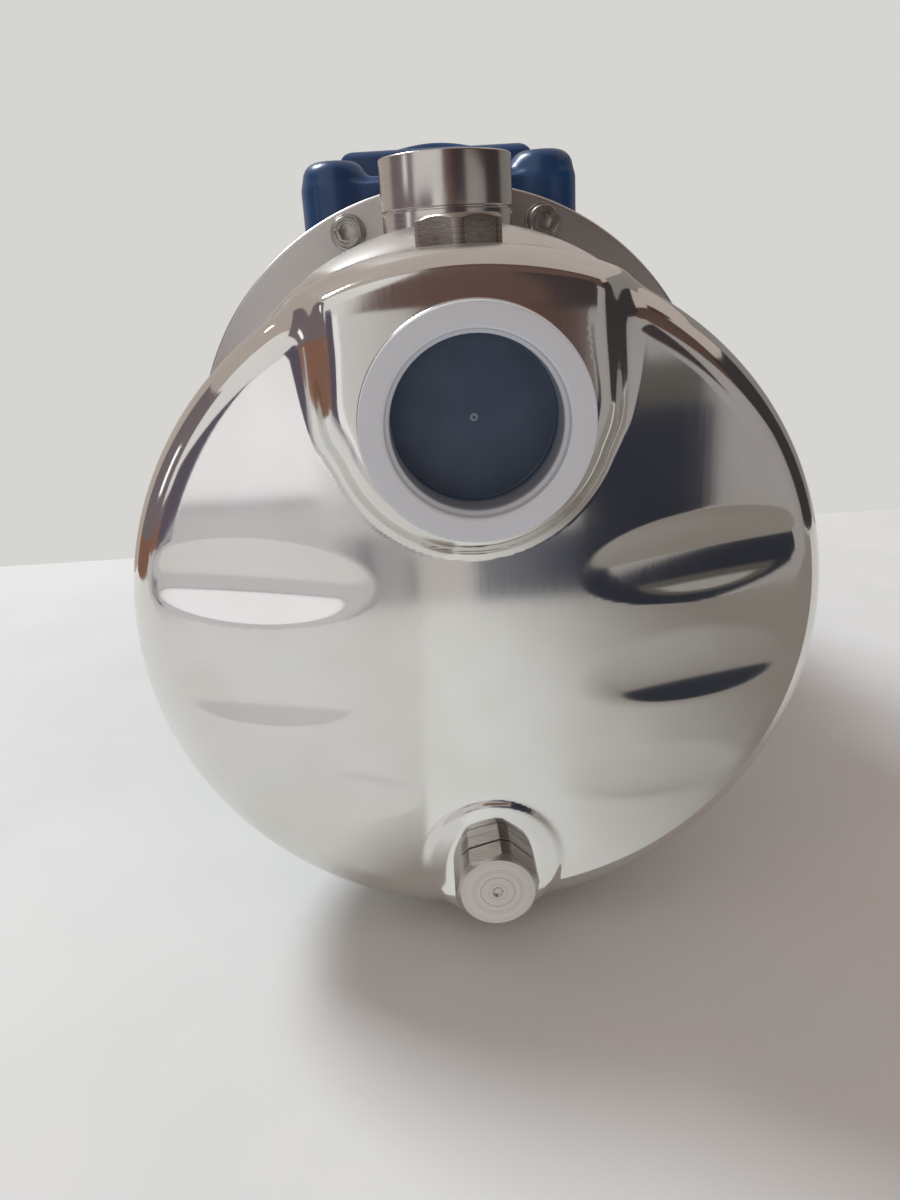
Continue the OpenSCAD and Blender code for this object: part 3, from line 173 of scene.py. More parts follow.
class Finish:
    """A material under construction, with a Principled shader at its end."""

    def __init__(self, name, **values):
        self.material = bpy.data.materials.new(name)
        self.material.use_nodes = True
        self.tree = self.material.node_tree
        self.shader = self.tree.nodes["Principled BSDF"]
        for socket, value in values.items():
            self.shader.inputs[socket.replace("_", " ").title()].default_value = value

    def node(self, kind, settings=None, sockets=(), output=0):
        made = self.tree.nodes.new(kind)
        for key, value in (settings or {}).items():
            setattr(made, key, value)
        pairs = sockets.items() if isinstance(sockets, dict) else enumerate(sockets)
        for key, value in pairs:
            self.join(value, made.inputs[key])
        return Wire(self, made.outputs[output])

    def join(self, value, socket):
        if isinstance(value, Wire):
            self.tree.links.new(value.socket, socket)
        else:
            socket.default_value = value

    def place(self, stretch=(1, 1, 1), turn=(0, 0, 0)):
        """Object coordinates in millimetres, stretched and turned."""
        coords = self.node("ShaderNodeTexCoord", output="Object")
        scale = tuple(s / MM for s in stretch)
        return self.node("ShaderNodeMapping", {}, {"Vector": coords, "Scale": scale, "Rotation": turn})

    def noise(self, size, stretch=(1, 1, 1), detail=3, turn=(0, 0, 0)):
        """Noise whose grain is about size millimetres."""
        return self.node(
            "ShaderNodeTexNoise", {},
            {"Vector": self.place(stretch, turn), "Scale": 1 / size, "Detail": detail},
        )

    def axes(self):
        """The three Object coordinates in millimetres, in the frame's own directions."""
        split = self.node("ShaderNodeSeparateXYZ", {}, [self.place()])
        owner = split.socket.node
        return [Wire(self, owner.outputs[i]) for i in range(3)]

    def mix(self, share, low, high):
        """One colour over another."""
        return self.node("ShaderNodeMix", {"data_type": "RGBA"}, {0: share, 6: low, 7: high}, 2)

    def lathe(self, centre, on_end=False):
        """Distance from a turning axis through centre, and place along it, in millimetres."""
        across, back, height = self.axes()
        across = across - centre[0]
        aside, along = (back - centre[1], height) if on_end else (height - centre[1], back)
        return self.node("ShaderNodeMath", {"operation": "SQRT"}, [across * across + aside * aside]), along

    def lines(self, centre, on_end=False):
        """The fine rings and threads of light that a lathe tool leaves."""
        out, along = self.lathe(centre, on_end)
        place = self.node("ShaderNodeCombineXYZ", {}, [out * TOOL_MARKS, along * TOOL_MARKS])
        return self.node("ShaderNodeTexNoise", {}, {"Vector": place, "Scale": 1, "Detail": 4})

    def bump(self, height, depth, strength=1.0):
        """Height of 0 to 1 as a dent of that many millimetres."""
        wire = self.node(
            "ShaderNodeBump", {},
            {"Height": height, "Distance": depth * MM, "Strength": strength},
        )
        self.tree.links.new(wire.socket, self.shader.inputs["Normal"])

    def feed(self, name, wire):
        self.tree.links.new(wire.socket, self.shader.inputs[name])


# %% Colours
def linear(red, green, blue):
    """A colour read off a screen as 0 to 255, in the renderer's linear light."""
    def one(c):
        c = c / 255
        return c / 12.92 if c <= 0.04045 else ((c + 0.055) / 1.055) ** 2.4
    return (one(red), one(green), one(blue), 1.0)


print("mid grey of a screen is", round(linear(128, 128, 128)[0], 3), "in linear light")

# %% [markdown]
# ## Steel
# The casing is stainless sheet, pressed and then buffed. It mirrors the room, but its broad faces keep
# the faint lines of the buffing wheel, which blur what they mirror a little. Turned pieces carry the fine
# rings of the lathe tool instead, so their noise is laid over the distance from the turning axis.

# %% Steel finishes
SHAFT_AXIS = (0, SHAFT_H)
INLET_AXIS = (0, SHAFT_H + INLET_H)
OUTLET_AXIS = (0, -FOOT_BACK - OUTLET_F)
FILLER_AXIS = (0, -FOOT_BACK - FILLER_F)
DRAIN_AXIS = (0, SHAFT_H + DRAIN_H)
BUFF_TURN = math.radians(-24)
CROSS_TURN = math.radians(38)


def polished_steel():
    steel = Finish("polished_steel", metallic=1.0)
    cloud = steel.noise(38, detail=2)
    brush = steel.noise(1.1, stretch=(1, 1, 0.05), detail=4, turn=(0, BUFF_TURN, 0))
    cross = steel.noise(0.9, stretch=(1, 1, 0.04), detail=3, turn=(0, CROSS_TURN, 0))
    back, height = steel.axes()[1:]
    face = (-1 * back).ramp(FOOT_BACK + 110, FOOT_BACK + 118)
    land = height.ramp(SHAFT_H + 64, SHAFT_H + 67) * back.ramp(-FOOT_BACK - 117, -FOOT_BACK - 114)
    steel.feed("Base Color", steel.mix(cloud.ramp(0.35, 0.7), linear(222, 221, 216), linear(231, 231, 228)))
    steel.feed("Roughness", 0.04 + face * (0.03 + 0.06 * brush) + 0.02 * cloud + 0.22 * land)
    steel.bump(0.6 * brush + 0.4 * cross, 0.006, 0.5)
    return steel.material


def turned_steel(
    name, centre, on_end=False, rough=0.2, depth=0.008, low=(190, 187, 182), high=(212, 209, 205),
):
    steel = Finish(name, metallic=1.0)
    rings = steel.lines(centre, on_end)
    cloud = steel.noise(7, detail=2)
    steel.feed("Base Color", steel.mix(rings.ramp(0.3, 0.7), linear(*low), linear(*high)))
    steel.feed("Roughness", rough + 0.1 * rings + 0.06 * cloud)
    steel.bump(rings, depth, 0.5)
    return steel.material


def fastener_steel():
    steel = Finish("fastener_steel", metallic=1.0)
    grain = steel.noise(0.35, detail=3)
    cloud = steel.noise(3, detail=2)
    steel.feed("Base Color", steel.mix(cloud.ramp(0.3, 0.7), linear(150, 147, 142), linear(186, 183, 178)))
    steel.feed("Roughness", 0.24 + 0.16 * grain)
    steel.bump(grain, 0.01, 0.5)
    return steel.material


def core_steel():
    steel = Finish("core_steel", metallic=0.9)
    back = steel.axes()[1]
    sheets = steel.node("ShaderNodeMath", {"operation": "SINE"}, [back * 12.6])
    rust = steel.noise(5, detail=4)
    steel.feed("Base Color", steel.mix(rust.ramp(0.5, 0.8), linear(120, 122, 126), linear(96, 84, 78)))
    steel.feed("Roughness", 0.4 + 0.15 * rust)
    steel.bump(sheets.ramp(-0.4, 0.9), 0.06, 0.6)
    return steel.material


# %% [markdown]
# ## Paint, plastic and rubber
# The castings and sheets of the motor wear a blue semi-gloss enamel. Under a lamp it shows a soft orange
# peel, and its colour drifts a little from thick to thin. The transit plug is milky plastic, and its colour
# holds painted light: white where metal lies behind it, a painted dark blue-grey shade where its floor
# closes off the dark inside of the pump, a wall painted darker deep down and a painted highlight round the
# pip.

# %% Other finishes
PLUG_FLOOR_F = 122
SCRATCH_TURN = math.radians(35)


def enamel(name, grain, depth):
    paint = Finish(name, coat_weight=0.2, coat_roughness=0.12)
    peel = paint.noise(grain, detail=2)
    cloud = paint.noise(26, detail=3)
    speck = paint.noise(0.8, detail=1)
    thick = paint.mix(cloud.ramp(0.3, 0.75), linear(2, 57, 106), linear(6, 76, 130))
    paint.feed("Base Color", paint.mix(speck.ramp(0.8, 0.86), thick, linear(50, 90, 140)))
    paint.feed("Roughness", 0.26 + 0.14 * peel)
    paint.bump(peel, depth, 0.6)
    return paint.material


def transit_plastic():
    milk = Finish("transit_plastic", coat_weight=0.15, coat_roughness=0.2)
    out, back = milk.lathe(INLET_AXIS)
    forward = -1 * back - FOOT_BACK
    wall = forward.ramp(PLUG_FLOOR_F + 0.2, PLUG_FLOOR_F + 5)
    brim_lit_share = forward.ramp(INLET_F - 3, INLET_F)
    scratch = milk.noise(14, stretch=(1, 1, 0.02), detail=3, turn=(0, SCRATCH_TURN, 0))
    haze = milk.noise(11, detail=3)
    # Painted shade on the floor: the dark inside of the pump behind the milky plastic, with real scratches
    # over it.
    floor_shade_glint_and_scratches = milk.mix(haze.ramp(0.3, 0.8), linear(55, 76, 102), linear(65, 86, 112))
    floor_shade_glint_and_scratches = milk.mix(scratch.ramp(0.66, 0.7) * 0.3, floor_shade_glint_and_scratches, linear(120, 126, 134))
    # Painted shade on the plug's wall: darker deep down, pale at the brim where metal lies behind it.
    side = milk.mix(brim_lit_share, linear(146, 152, 162), linear(212, 217, 226))
    # A painted highlight: a bright ring round the pip in the middle of the floor.
    pip = out.ramp(0.35, 0.55) * (1 - out.ramp(0.8, 1))
    floor_shade_glint_and_scratches = milk.mix(pip * 0.7, floor_shade_glint_and_scratches, linear(190, 196, 204))
    milk.feed("Base Color", milk.mix(wall, floor_shade_glint_and_scratches, side))
    milk.feed("Roughness", 0.36 + 0.1 * haze)
    milk.bump(haze, 0.05, 0.3)
    return milk.material


def plain_plastic(name, low, high, rough, grain, coat=0.0):
    plastic = Finish(name, coat_weight=coat, coat_roughness=0.15)
    texture = plastic.noise(grain, detail=3)
    cloud = plastic.noise(18, detail=2)
    plastic.feed("Base Color", plastic.mix(cloud.ramp(0.3, 0.75), linear(*low), linear(*high)))
    plastic.feed("Roughness", rough + 0.15 * texture)
    plastic.bump(texture, 0.03, 0.5)
    return plastic.material


def winding_copper():
    copper = Finish("winding_copper", metallic=0.9, coat_weight=0.6, coat_roughness=0.2)
    out = copper.lathe(SHAFT_AXIS)[0]
    wires = copper.node("ShaderNodeMath", {"operation": "SINE"}, [out * 9])
    varnish = copper.noise(3, detail=3)
    copper.feed("Base Color", copper.mix(varnish.ramp(0.3, 0.8), linear(196, 112, 58), linear(122, 60, 34)))
    copper.feed("Roughness", 0.35 + 0.2 * varnish)
    copper.bump(wires.ramp(-0.8, 0.8) + 0.4 * varnish, 0.25, 0.7)
    return copper.material


# %% One material for each slot
FINISHES = {
    "polished_steel": polished_steel(),
    "brushed_steel": turned_steel("brushed_steel", SHAFT_AXIS, rough=0.3, depth=0.012),
    "fastener_steel": fastener_steel(),
    "pressed_steel": turned_steel("pressed_steel", SHAFT_AXIS, rough=0.32, depth=0.01),
    "shaft_steel": turned_steel("shaft_steel", SHAFT_AXIS, rough=0.16, depth=0.004),
    "bearing_steel": turned_steel("bearing_steel", SHAFT_AXIS, rough=0.08, depth=0.002),
    "seal_rubber": plain_plastic("seal_rubber", (18, 18, 19), (26, 26, 27), 0.5, 0.5),
    "transit_plastic": transit_plastic(),
    "moulded_stage_plastic": plain_plastic("moulded_stage_plastic", (40, 42, 45), (56, 58, 61), 0.4, 0.4),
    "seal_carbon": plain_plastic("seal_carbon", (30, 30, 32), (44, 44, 46), 0.3, 0.2),
    "seal_ceramic": plain_plastic("seal_ceramic", (226, 221, 208), (236, 232, 222), 0.15, 0.3, 0.4),
    "blue_casting": enamel("blue_casting", 1.4, 0.06),
    "blue_sheet": enamel("blue_sheet", 2.2, 0.03),
    "core_steel": core_steel(),
    "winding_copper": winding_copper(),
    "black_plastic": plain_plastic("black_plastic", (22, 22, 24), (34, 34, 36), 0.35, 0.6),
    "can_plastic": plain_plastic("can_plastic", (214, 213, 208), (226, 225, 221), 0.28, 0.8, 0.2),
}
for part in frame["record"]["subparts"]:
    node = frame["nodes"][part["node"]]
    node.data.materials.clear()
    node.data.materials.append(FINISHES[part["material_slot"]])
print(len(FINISHES), "finishes on", len(frame["nodes"]), "nodes")

# %% [markdown]
# ## Making a piece
# Every new piece goes the same way: a bmesh is shaped in millimetres in the pump's coordinates, moved to
# its place in the frame, and handed over with its body and its material, and the frame's node that it
# stands for is hidden.

# %% Pieces
def piece(name, bm, matrix, body, slot, material, replaces=(), smooth=35):
    """Hands a finished bmesh over as one piece of the pump."""
    bmesh.ops.remove_doubles(bm, verts=bm.verts, dist=1e-5)
    bmesh.ops.recalc_face_normals(bm, faces=bm.faces)
    bmesh.ops.transform(bm, matrix=matrix, verts=bm.verts)
    mesh = bpy.data.meshes.new(name)
    bm.to_mesh(mesh)
    bm.free()
    made = bpy.data.objects.new(name, mesh)
    bpy.context.scene.collection.objects.link(made)
    mesh.materials.append(material)
    if smooth:
        mesh.shade_smooth()
        mesh.set_sharp_from_angle(angle=math.radians(smooth))
    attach(made, body)
    if replaces:
        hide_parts(*replaces)
    print(name, len(mesh.polygons), "faces")
    return made


# %% [markdown]
# ## The pressed casing as a form
# The real casing starts as a flat disc that is drawn over a punch, so its bulb, neck, pad, valleys and
# grooves all run into each other with the punch's own radii. A form that says how far a point lies
# outside the metal can blend all of them: a larger value wins where metal is cut away, a smaller one
# where it is added, and a blend radius rounds each meeting.

# %% Blends
def keep_both(a, b, blend):
    """The space inside both forms, with a soft meeting."""
    return np.maximum(a, b) + np.maximum(blend - np.abs(a - b), 0) ** 2 / (4 * blend)


def join_both(a, b, blend):
    """The space inside either form, with a soft meeting."""
    return -keep_both(-a, -b, blend)


def round_edge(a, b, radius):
    """The space inside both forms, with a true round of that radius along the edge."""
    corner = np.hypot(np.maximum(a + radius, 0), np.maximum(b + radius, 0))
    return np.minimum(np.maximum(a, b), -radius) + corner


def rod(x, h, f, start, end, radius):
    """Distance to a rod with round ends."""
    a = np.array(start, float)
    d = np.array(end, float) - a
    share = ((x - a[0]) * d[0] + (h - a[1]) * d[1] + (f - a[2]) * d[2]) / d.dot(d)
    share = np.clip(share, 0, 1)
    return np.sqrt(
        (x - a[0] - share * d[0]) ** 2 + (h - a[1] - share * d[1]) ** 2 + (f - a[2] - share * d[2]) ** 2
    ) - radius


print("a blend of 8 mm fills an inner corner by", -join_both(0.0, 0.0, 8), "mm")

# %% Bulb and neck
BULB_DROP = 21
BULB_R = 91
BULB_FRONT_R = 89.4
BULB_BLEND = 6
BELLY_F = 80
FACE_F = 116
FACE_CROWN = 0.7
FRONT_ROUND = 9
NECK_R = 78
NECK_END_F = 58
NECK_CONE = 26
NECK_FALL = 12
NECK_BLEND = 5
NECK_END_BLEND = 4


def bulb_form(x, h, f):
    out = np.hypot(x, h + BULB_DROP)
    rear = (NECK_R - BULB_DROP) + (BULB_R - NECK_R + BULB_DROP) * f / BELLY_F
    front = BULB_R - (BULB_R - BULB_FRONT_R) * (f - BELLY_F) / (FACE_F - FRONT_ROUND - BELLY_F)
    side = keep_both(out - rear, out - front, BULB_BLEND)
    face = f - FACE_F + FACE_CROWN * (out / BULB_R) ** 2
    return round_edge(side, face, FRONT_ROUND)


def neck_form(x, h, f):
    out = np.hypot(x, h)
    cone = out - (NECK_R - NECK_FALL * (f - NECK_END_F) / NECK_CONE)
    side = keep_both(out - NECK_R, cone, NECK_BLEND)
    return keep_both(side, f - NECK_END_F - NECK_CONE, NECK_END_BLEND)


print("casing", 2 * BULB_R, "mm wide and", FACE_F, "mm deep")

# %% Inlet pad
LAND_H = 68
LAND_FALL = 0.09
LAND_FALL_F = 100
PAD_F = 122.5
PAD_R = 31.7
PAD_HALF = 32
PAD_SHIFT = -1
PAD_TOP_H = 70
PAD_CORNER = 12
PAD_SLOPE = 0.28
PAD_ROUND = 4.5
TONGUE_DROP = 4
TONGUE_BLEND = 8
TONGUE_JOIN = 6
CROWN_R = 21
CROWN_H = 54
CROWN_OVER = 0.5
CREST_ROUND = 2
CREST_BLEND = 2


def pad_form(x, h, f):
    lean = PAD_SLOPE * (f - PAD_F)
    ring = np.hypot(x, h - INLET_H) - PAD_R
    corner_x = np.abs(x - PAD_SHIFT) - (PAD_HALF - PAD_CORNER)
    corner_h = np.abs(h - INLET_H) - (PAD_TOP_H - INLET_H - PAD_CORNER)
    slab = (
        np.hypot(np.maximum(corner_x, 0), np.maximum(corner_h, 0))
        + np.minimum(np.maximum(corner_x, corner_h), 0) - PAD_CORNER
    )
    tongue = keep_both(slab, INLET_H - TONGUE_DROP - h, TONGUE_BLEND)
    outline = join_both(ring, tongue, TONGUE_JOIN) + lean
    pad = round_edge(outline, f - PAD_F, PAD_ROUND)
    fall = LAND_FALL * np.maximum(f - LAND_FALL_F, 0)
    cap = np.hypot(x, h + BULB_DROP) - LAND_H - BULB_DROP + fall
    brow = np.hypot(np.maximum(h - CROWN_H, 0), f - PAD_F - CROWN_OVER + CROWN_R) - CROWN_R
    return keep_both(pad, round_edge(cap, brow, CREST_ROUND), CREST_BLEND)


print("pad stands", PAD_F - FACE_F, "mm before the face")

# %% Drain seat
DRAIN_SEAT_F = 117.2
DRAIN_SEAT_R = 15
DRAIN_FOOT = 4
DRAIN_STEEP = 6
DRAIN_SLANT = 6.1
DRAIN_BACK_F = 96
DRAIN_SIDE_BLEND = 2
DRAIN_RIM_BLEND = 0.3
DRAIN_EDGE_BLEND = 4
DRAIN_BACK_BLEND = 3


def drain_form(x, h, f):
    out = np.hypot(x, h - DRAIN_H)
    slope = (out - DRAIN_SEAT_R + 2 + DRAIN_STEEP * (f - DRAIN_SEAT_F)) / DRAIN_SLANT
    side = keep_both(slope, out - DRAIN_SEAT_R - DRAIN_FOOT, DRAIN_SIDE_BLEND)
    rim = np.hypot(x, h + BULB_DROP) - BULB_R
    seat = keep_both(keep_both(side, f - DRAIN_SEAT_F, DRAIN_RIM_BLEND), rim, DRAIN_EDGE_BLEND)
    return keep_both(seat, DRAIN_BACK_F - f, DRAIN_BACK_BLEND)


print("drain seat stands", round(DRAIN_SEAT_F - FACE_F, 1), "mm before the face")

# %% Grooves
# Each groove: centre across and up, half length, half width, depth, rise towards the rim, blend
FLUTES = [
    (58, -5.5, 30, 11.4, 2.1, 0.11, 0.6),
    (57, -35.5, 31, 11, 1.4, 0.12, 0.35),
    (47, -67, 29, 9.5, 1.3, 0.08, 0.3),
]


def flute(x, h, f, centre_x, centre_h, half_l, half_w, dip, tilt):
    """A groove like the print of an egg: lens-shaped, deepest in its middle."""
    along = x - centre_x
    across = h - centre_h - tilt * along
    share = (along / half_l) ** 2 + (across / half_w) ** 2
    steep = 1 + (2 * dip / half_w) ** 2 * np.minimum(share, 1)
    return (f - FACE_F + dip - dip * share) / np.sqrt(steep)


print(2 * len(FLUTES), "grooves in the face")

# %% Whole casing
LAND_BACK_F = 79
LAND_CORNER = 5
LAND_BLEND = 3
NECK_JOIN = 7
VALLEY = ((38, 74, 121), (40, 45, 126), 8)
VALLEY_BLEND = 2
PAD_JOIN_LOW = 2.5
PAD_JOIN_MORE = 6.5
PAD_JOIN_FROM_H = 25
PAD_JOIN_RISE = 4
DRAIN_JOIN = 1.5


def casing_form(x, h, f):
    form = join_both(bulb_form(x, h, f), neck_form(x, h, f), NECK_JOIN)
    land = join_both(h - LAND_H, f - LAND_BACK_F, LAND_CORNER)
    form = keep_both(form, land, LAND_BLEND)
    for flip in (-1, 1):
        form = keep_both(form, -rod(flip * x, h, f, *VALLEY), VALLEY_BLEND)
        for *place, blend in FLUTES:
            form = keep_both(form, flute(flip * x, h, f, *place), blend)
    softer = np.clip((h - PAD_JOIN_FROM_H) / PAD_JOIN_RISE, 0, PAD_JOIN_MORE)
    form = join_both(form, pad_form(x, h, f), PAD_JOIN_LOW + softer)
    return join_both(form, drain_form(x, h, f), DRAIN_JOIN)


print("face below the pad at", round(FACE_F - float(casing_form(0, -60, FACE_F)), 2), "mm forward")

# %% [markdown]
# ## From form to mesh
# A square grid keeps its lines nearly level across the face, which suits the level grooves, and its rim
# is extruded ring by ring over the shoulder and back along the side. Each vertex then travels outwards
# from inside the metal until it meets the form. The form's own slope gives the normals, so that a mirror
# finish shows the blends and not the facets.

# %% Draping a mesh over a form
def drape(form, grid, top, rings, reach, squareness=0.0):
    """A grid and the rings around it, each vertex moved from inside a form out to its surface."""
    base, radius, middle = top
    bend = (1 - squareness) / 2
    bm = bmesh.new()
    bmesh.ops.create_grid(bm, x_segments=grid, y_segments=grid, size=1)
    ways = {}
    for v in bm.verts:
        u, w = v.co.x, v.co.y
        v.co = Vector((
            u * math.sqrt(1 - bend * w * w) * radius,
            w * math.sqrt(1 - bend * u * u) * radius + middle,
            base,
        ))
        ways[v] = Vector((0, 0, 1))
    edge = [e for e in bm.edges if e.is_boundary]
    for level, scale, shift, outward, forward in rings:
        grown = bmesh.ops.extrude_edge_only(bm, edges=edge)["geom"]
        edge = [g for g in grown if isinstance(g, bmesh.types.BMEdge) and g.is_boundary]
        for v in [g for g in grown if isinstance(g, bmesh.types.BMVert)]:
            flat = Vector((v.co.x, v.co.y - middle, 0)) * scale
            v.co = flat + Vector((0, shift, level))
            ways[v] = flat.normalized() * outward + Vector((0, 0, forward))
        middle = shift
    start = np.array([v.co for v in bm.verts])
    way = np.array([ways[v] for v in bm.verts])
    for v, p in zip(bm.verts, settle(start, way, form, reach)):
        v.co = p
    return bm


def settle(start, way, form, reach, steps=30):
    """Moves points along their ways until they lie on the form."""
    low = np.zeros(len(start))
    high = np.full(len(start), float(reach))
    found = np.zeros(len(start), bool)
    for i in range(1, steps + 1):
        t = reach * i / steps
        p = start + way * t
        outside = form(p[:, 0], p[:, 1], p[:, 2]) > 0
        high[outside & ~found] = t
        found |= outside
        low[~found] = t
    for _ in range(24):
        middle = (low + high) / 2
        p = start + way * middle[:, None]
        outside = form(p[:, 0], p[:, 1], p[:, 2]) > 0
        high = np.where(outside, middle, high)
        low = np.where(outside, low, middle)
    return start + way * high[:, None]


def shoulder(level, shift, count):
    """Rings that swing from forward to outward round the edge of the grid."""
    for i in range(1, count + 1):
        turn = math.pi / 2 * i / count
        yield level, 1, shift, math.sin(turn), math.cos(turn)


def form_normals(made, matrix, form):
    """Normals of a finished piece from the slope of its form."""
    back = np.array(matrix.inverted())
    points = np.array([v.co for v in made.data.vertices]) @ back[:3, :3].T + back[:3, 3]
    slope = np.empty_like(points)
    for i in range(3):
        step = np.zeros(3)
        step[i] = 0.05
        ahead_p, behind_p = points + step, points - step
        slope[:, i] = form(*ahead_p.T) - form(*behind_p.T)
    slope = slope @ np.array(matrix)[:3, :3].T
    slope /= np.linalg.norm(slope, axis=1)[:, None]
    made.data.shade_smooth()
    made.data.normals_split_custom_set_from_vertices(slope.tolist())


# %% Casing mesh
REACH = 60
CASING_GRID = 150
CASING_SHOULDER = 26
CORE_R = 70
CORE_F = 95
CORE_REAR_F = 45
CORE_REAR_R = 52
REAR_F = -4.9
FINE_STEP = 1.7
COARSE_STEP = 6
COARSE_F = 52
INLET_HOLE_R = 23
DRAIN_HOLE_R = 9
OUTLET_HOLE_R = 17
FILLER_HOLE_R = 8.5


def casing_rings():
    """The shoulder, then rings that shrink and climb towards the neck."""
    yield from shoulder(CORE_F, -BULB_DROP, CASING_SHOULDER)
    f = CORE_F
    radius = CORE_R
    while f > REAR_F:
        f = max(f - (FINE_STEP if f > COARSE_F else COARSE_STEP), REAR_F)
        share = min(max((f - CORE_REAR_F) / (CORE_F - CORE_REAR_F), 0), 1)
        fresh = CORE_REAR_R + (CORE_R - CORE_REAR_R) * share
        yield f, fresh / radius, -BULB_DROP * share, 1, 0
        radius = fresh


def open_face(bm, h, radius):
    """Deletes the faces within a hole in the front, whose edge a turned piece then covers."""
    middles = [(face, face.calc_center_median()) for face in bm.faces]
    gone = [face for face, p in middles if p.z > FACE_F and math.hypot(p.x, p.y - h) < radius]
    bmesh.ops.delete(bm, geom=gone, context="FACES")


def open_top(bm, f, radius):
    """The same for a hole in the top."""
    middles = [(face, face.calc_center_median()) for face in bm.faces]
    gone = [face for face, p in middles if p.y > 0 and math.hypot(p.x, p.z - f) < radius]
    bmesh.ops.delete(bm, geom=gone, context="FACES")


def casing():
    bm = drape(casing_form, CASING_GRID, (CORE_F, CORE_R, -BULB_DROP), casing_rings(), REACH)
    open_face(bm, INLET_H, INLET_HOLE_R)
    open_face(bm, DRAIN_H, DRAIN_HOLE_R)
    open_top(bm, OUTLET_F, OUTLET_HOLE_R)
    open_top(bm, FILLER_F, FILLER_HOLE_R)
    made = piece(
        "casing", bm, SHAFT, "pump", "polished_steel", FINISHES["polished_steel"], ["casing_shell"], 0
    )
    form_normals(made, SHAFT, casing_form)


casing()

# %% [markdown]
# ## Turned pieces
# Sockets, rings, plugs and seals come off a lathe. Each starts as a chain of corners on one side of the
# axis, every corner with its own small bend, and the chain is spun once round. Threads are cut as a row
# of grooves of the real pitch.

# %% Lathe work
def bent(corners, closed, steps=5):
    """The corners (radius, place, bend) as points, with an arc at each bend."""
    count = len(corners)
    chain = []
    for i, (r, z, bend) in enumerate(corners):
        here = Vector((r, z))
        if bend == 0 or (not closed and i in (0, count - 1)):
            chain.append(here)
            continue
        before = (Vector(corners[i - 1][:2]) - here).normalized()
        after = (Vector(corners[(i + 1) % count][:2]) - here).normalized()
        half = before.angle(after) / 2
        centre = here + (before + after).normalized() * bend / math.sin(half)
        start = here + before * bend / math.tan(half) - centre
        end = here + after * bend / math.tan(half) - centre
        chain += [centre + start.lerp(end, k / steps).normalized() * bend for k in range(steps + 1)]
    return chain


def turned(corners, closed=True, steps=128):
    """A blank from the lathe, with its axis along z."""
    bm = bmesh.new()
    chain = [bm.verts.new((p.x, 0, p.y)) for p in bent(corners, closed)]
    pairs = list(zip(chain, chain[1:]))
    if closed:
        pairs.append((chain[-1], chain[0]))
    edges = [bm.edges.new(pair) for pair in pairs]
    bmesh.ops.spin(
        bm, geom=chain + edges, cent=(0, 0, 0), axis=(0, 0, 1), dvec=(0, 0, 0),
        angle=2 * math.pi, steps=steps, use_merge=True, use_duplicate=False,
    )
    bmesh.ops.remove_doubles(bm, verts=bm.verts, dist=1e-5)
    bmesh.ops.recalc_face_normals(bm, faces=bm.faces)
    return bm


def thread(radius, low, high, pitch):
    """Corners down a threaded bore, from its mouth to its end."""
    depth = 0.64 * pitch
    corners = []
    z = high - pitch / 2
    while z - pitch > low:
        corners += [(radius, z, 0), (radius + depth, z - pitch * 0.42, 0)]
        corners += [(radius + depth, z - pitch * 0.58, 0)]
        z -= pitch
    return corners + [(radius, z, 0)]


def ring_of(bm, count, radius):
    """Copies of one small piece at even places round the shaft, the first half a step on."""
    first = bm.verts[:] + bm.edges[:] + bm.faces[:]
    step = 2 * math.pi / count
    bmesh.ops.translate(bm, verts=bm.verts, vec=(0, radius, 0))
    bmesh.ops.rotate(bm, verts=bm.verts, cent=(0, 0, 0), matrix=Matrix.Rotation(step / 2, 3, "Z"))
    for i in range(1, count):
        copy = bmesh.ops.duplicate(bm, geom=first)["geom"]
        verts = [g for g in copy if isinstance(g, bmesh.types.BMVert)]
        bmesh.ops.rotate(bm, verts=verts, cent=(0, 0, 0), matrix=Matrix.Rotation(step * i, 3, "Z"))


def on_shaft(x, h, f, turn=0.0):
    """A matrix for a turned piece whose axis lies along the pump."""
    return SHAFT @ Matrix.Translation((x, h, f)) @ Matrix.Rotation(turn, 4, "Z")


# %% Clamp flange, washers and screws
FLANGE_R = 93
FLANGE_T = 5
SEAT_R = 78.1
SCREW_CIRCLE_R = 85.55
SCREW_COUNT = 8
WASHER_R = 6
WASHER_HOLE_R = 3.4
WASHER_T = 1.2
THREAD_R = 3
THREAD_LEN = 19
HEAD_R = 5
HEAD_H = 6
HEAD_RIM_R = 3.7
KEY_APOTHEM = 2.5
KEY_DEPTH = 3
KNURL_DEPTH = 0.12


def casing_flange():
    bm = turned([
        (SEAT_R, -FLANGE_T, 0.3), (FLANGE_R, -FLANGE_T, 1.2), (FLANGE_R, 0, 1.2), (SEAT_R, 0, 0.3),
    ], steps=256)
    piece("flange", bm, SHAFT, "pump", "brushed_steel", FINISHES["brushed_steel"], ["casing_flange"])


def casing_washers():
    bm = turned([
        (WASHER_HOLE_R, 0, 0.15), (WASHER_R, 0, 0.3), (WASHER_R, WASHER_T, 0.3),
        (WASHER_HOLE_R, WASHER_T, 0.15),
    ], steps=40)
    ring_of(bm, SCREW_COUNT, SCREW_CIRCLE_R)
    piece("washers", bm, SHAFT, "pump", "fastener_steel", FINISHES["fastener_steel"], ["casing_washers"])


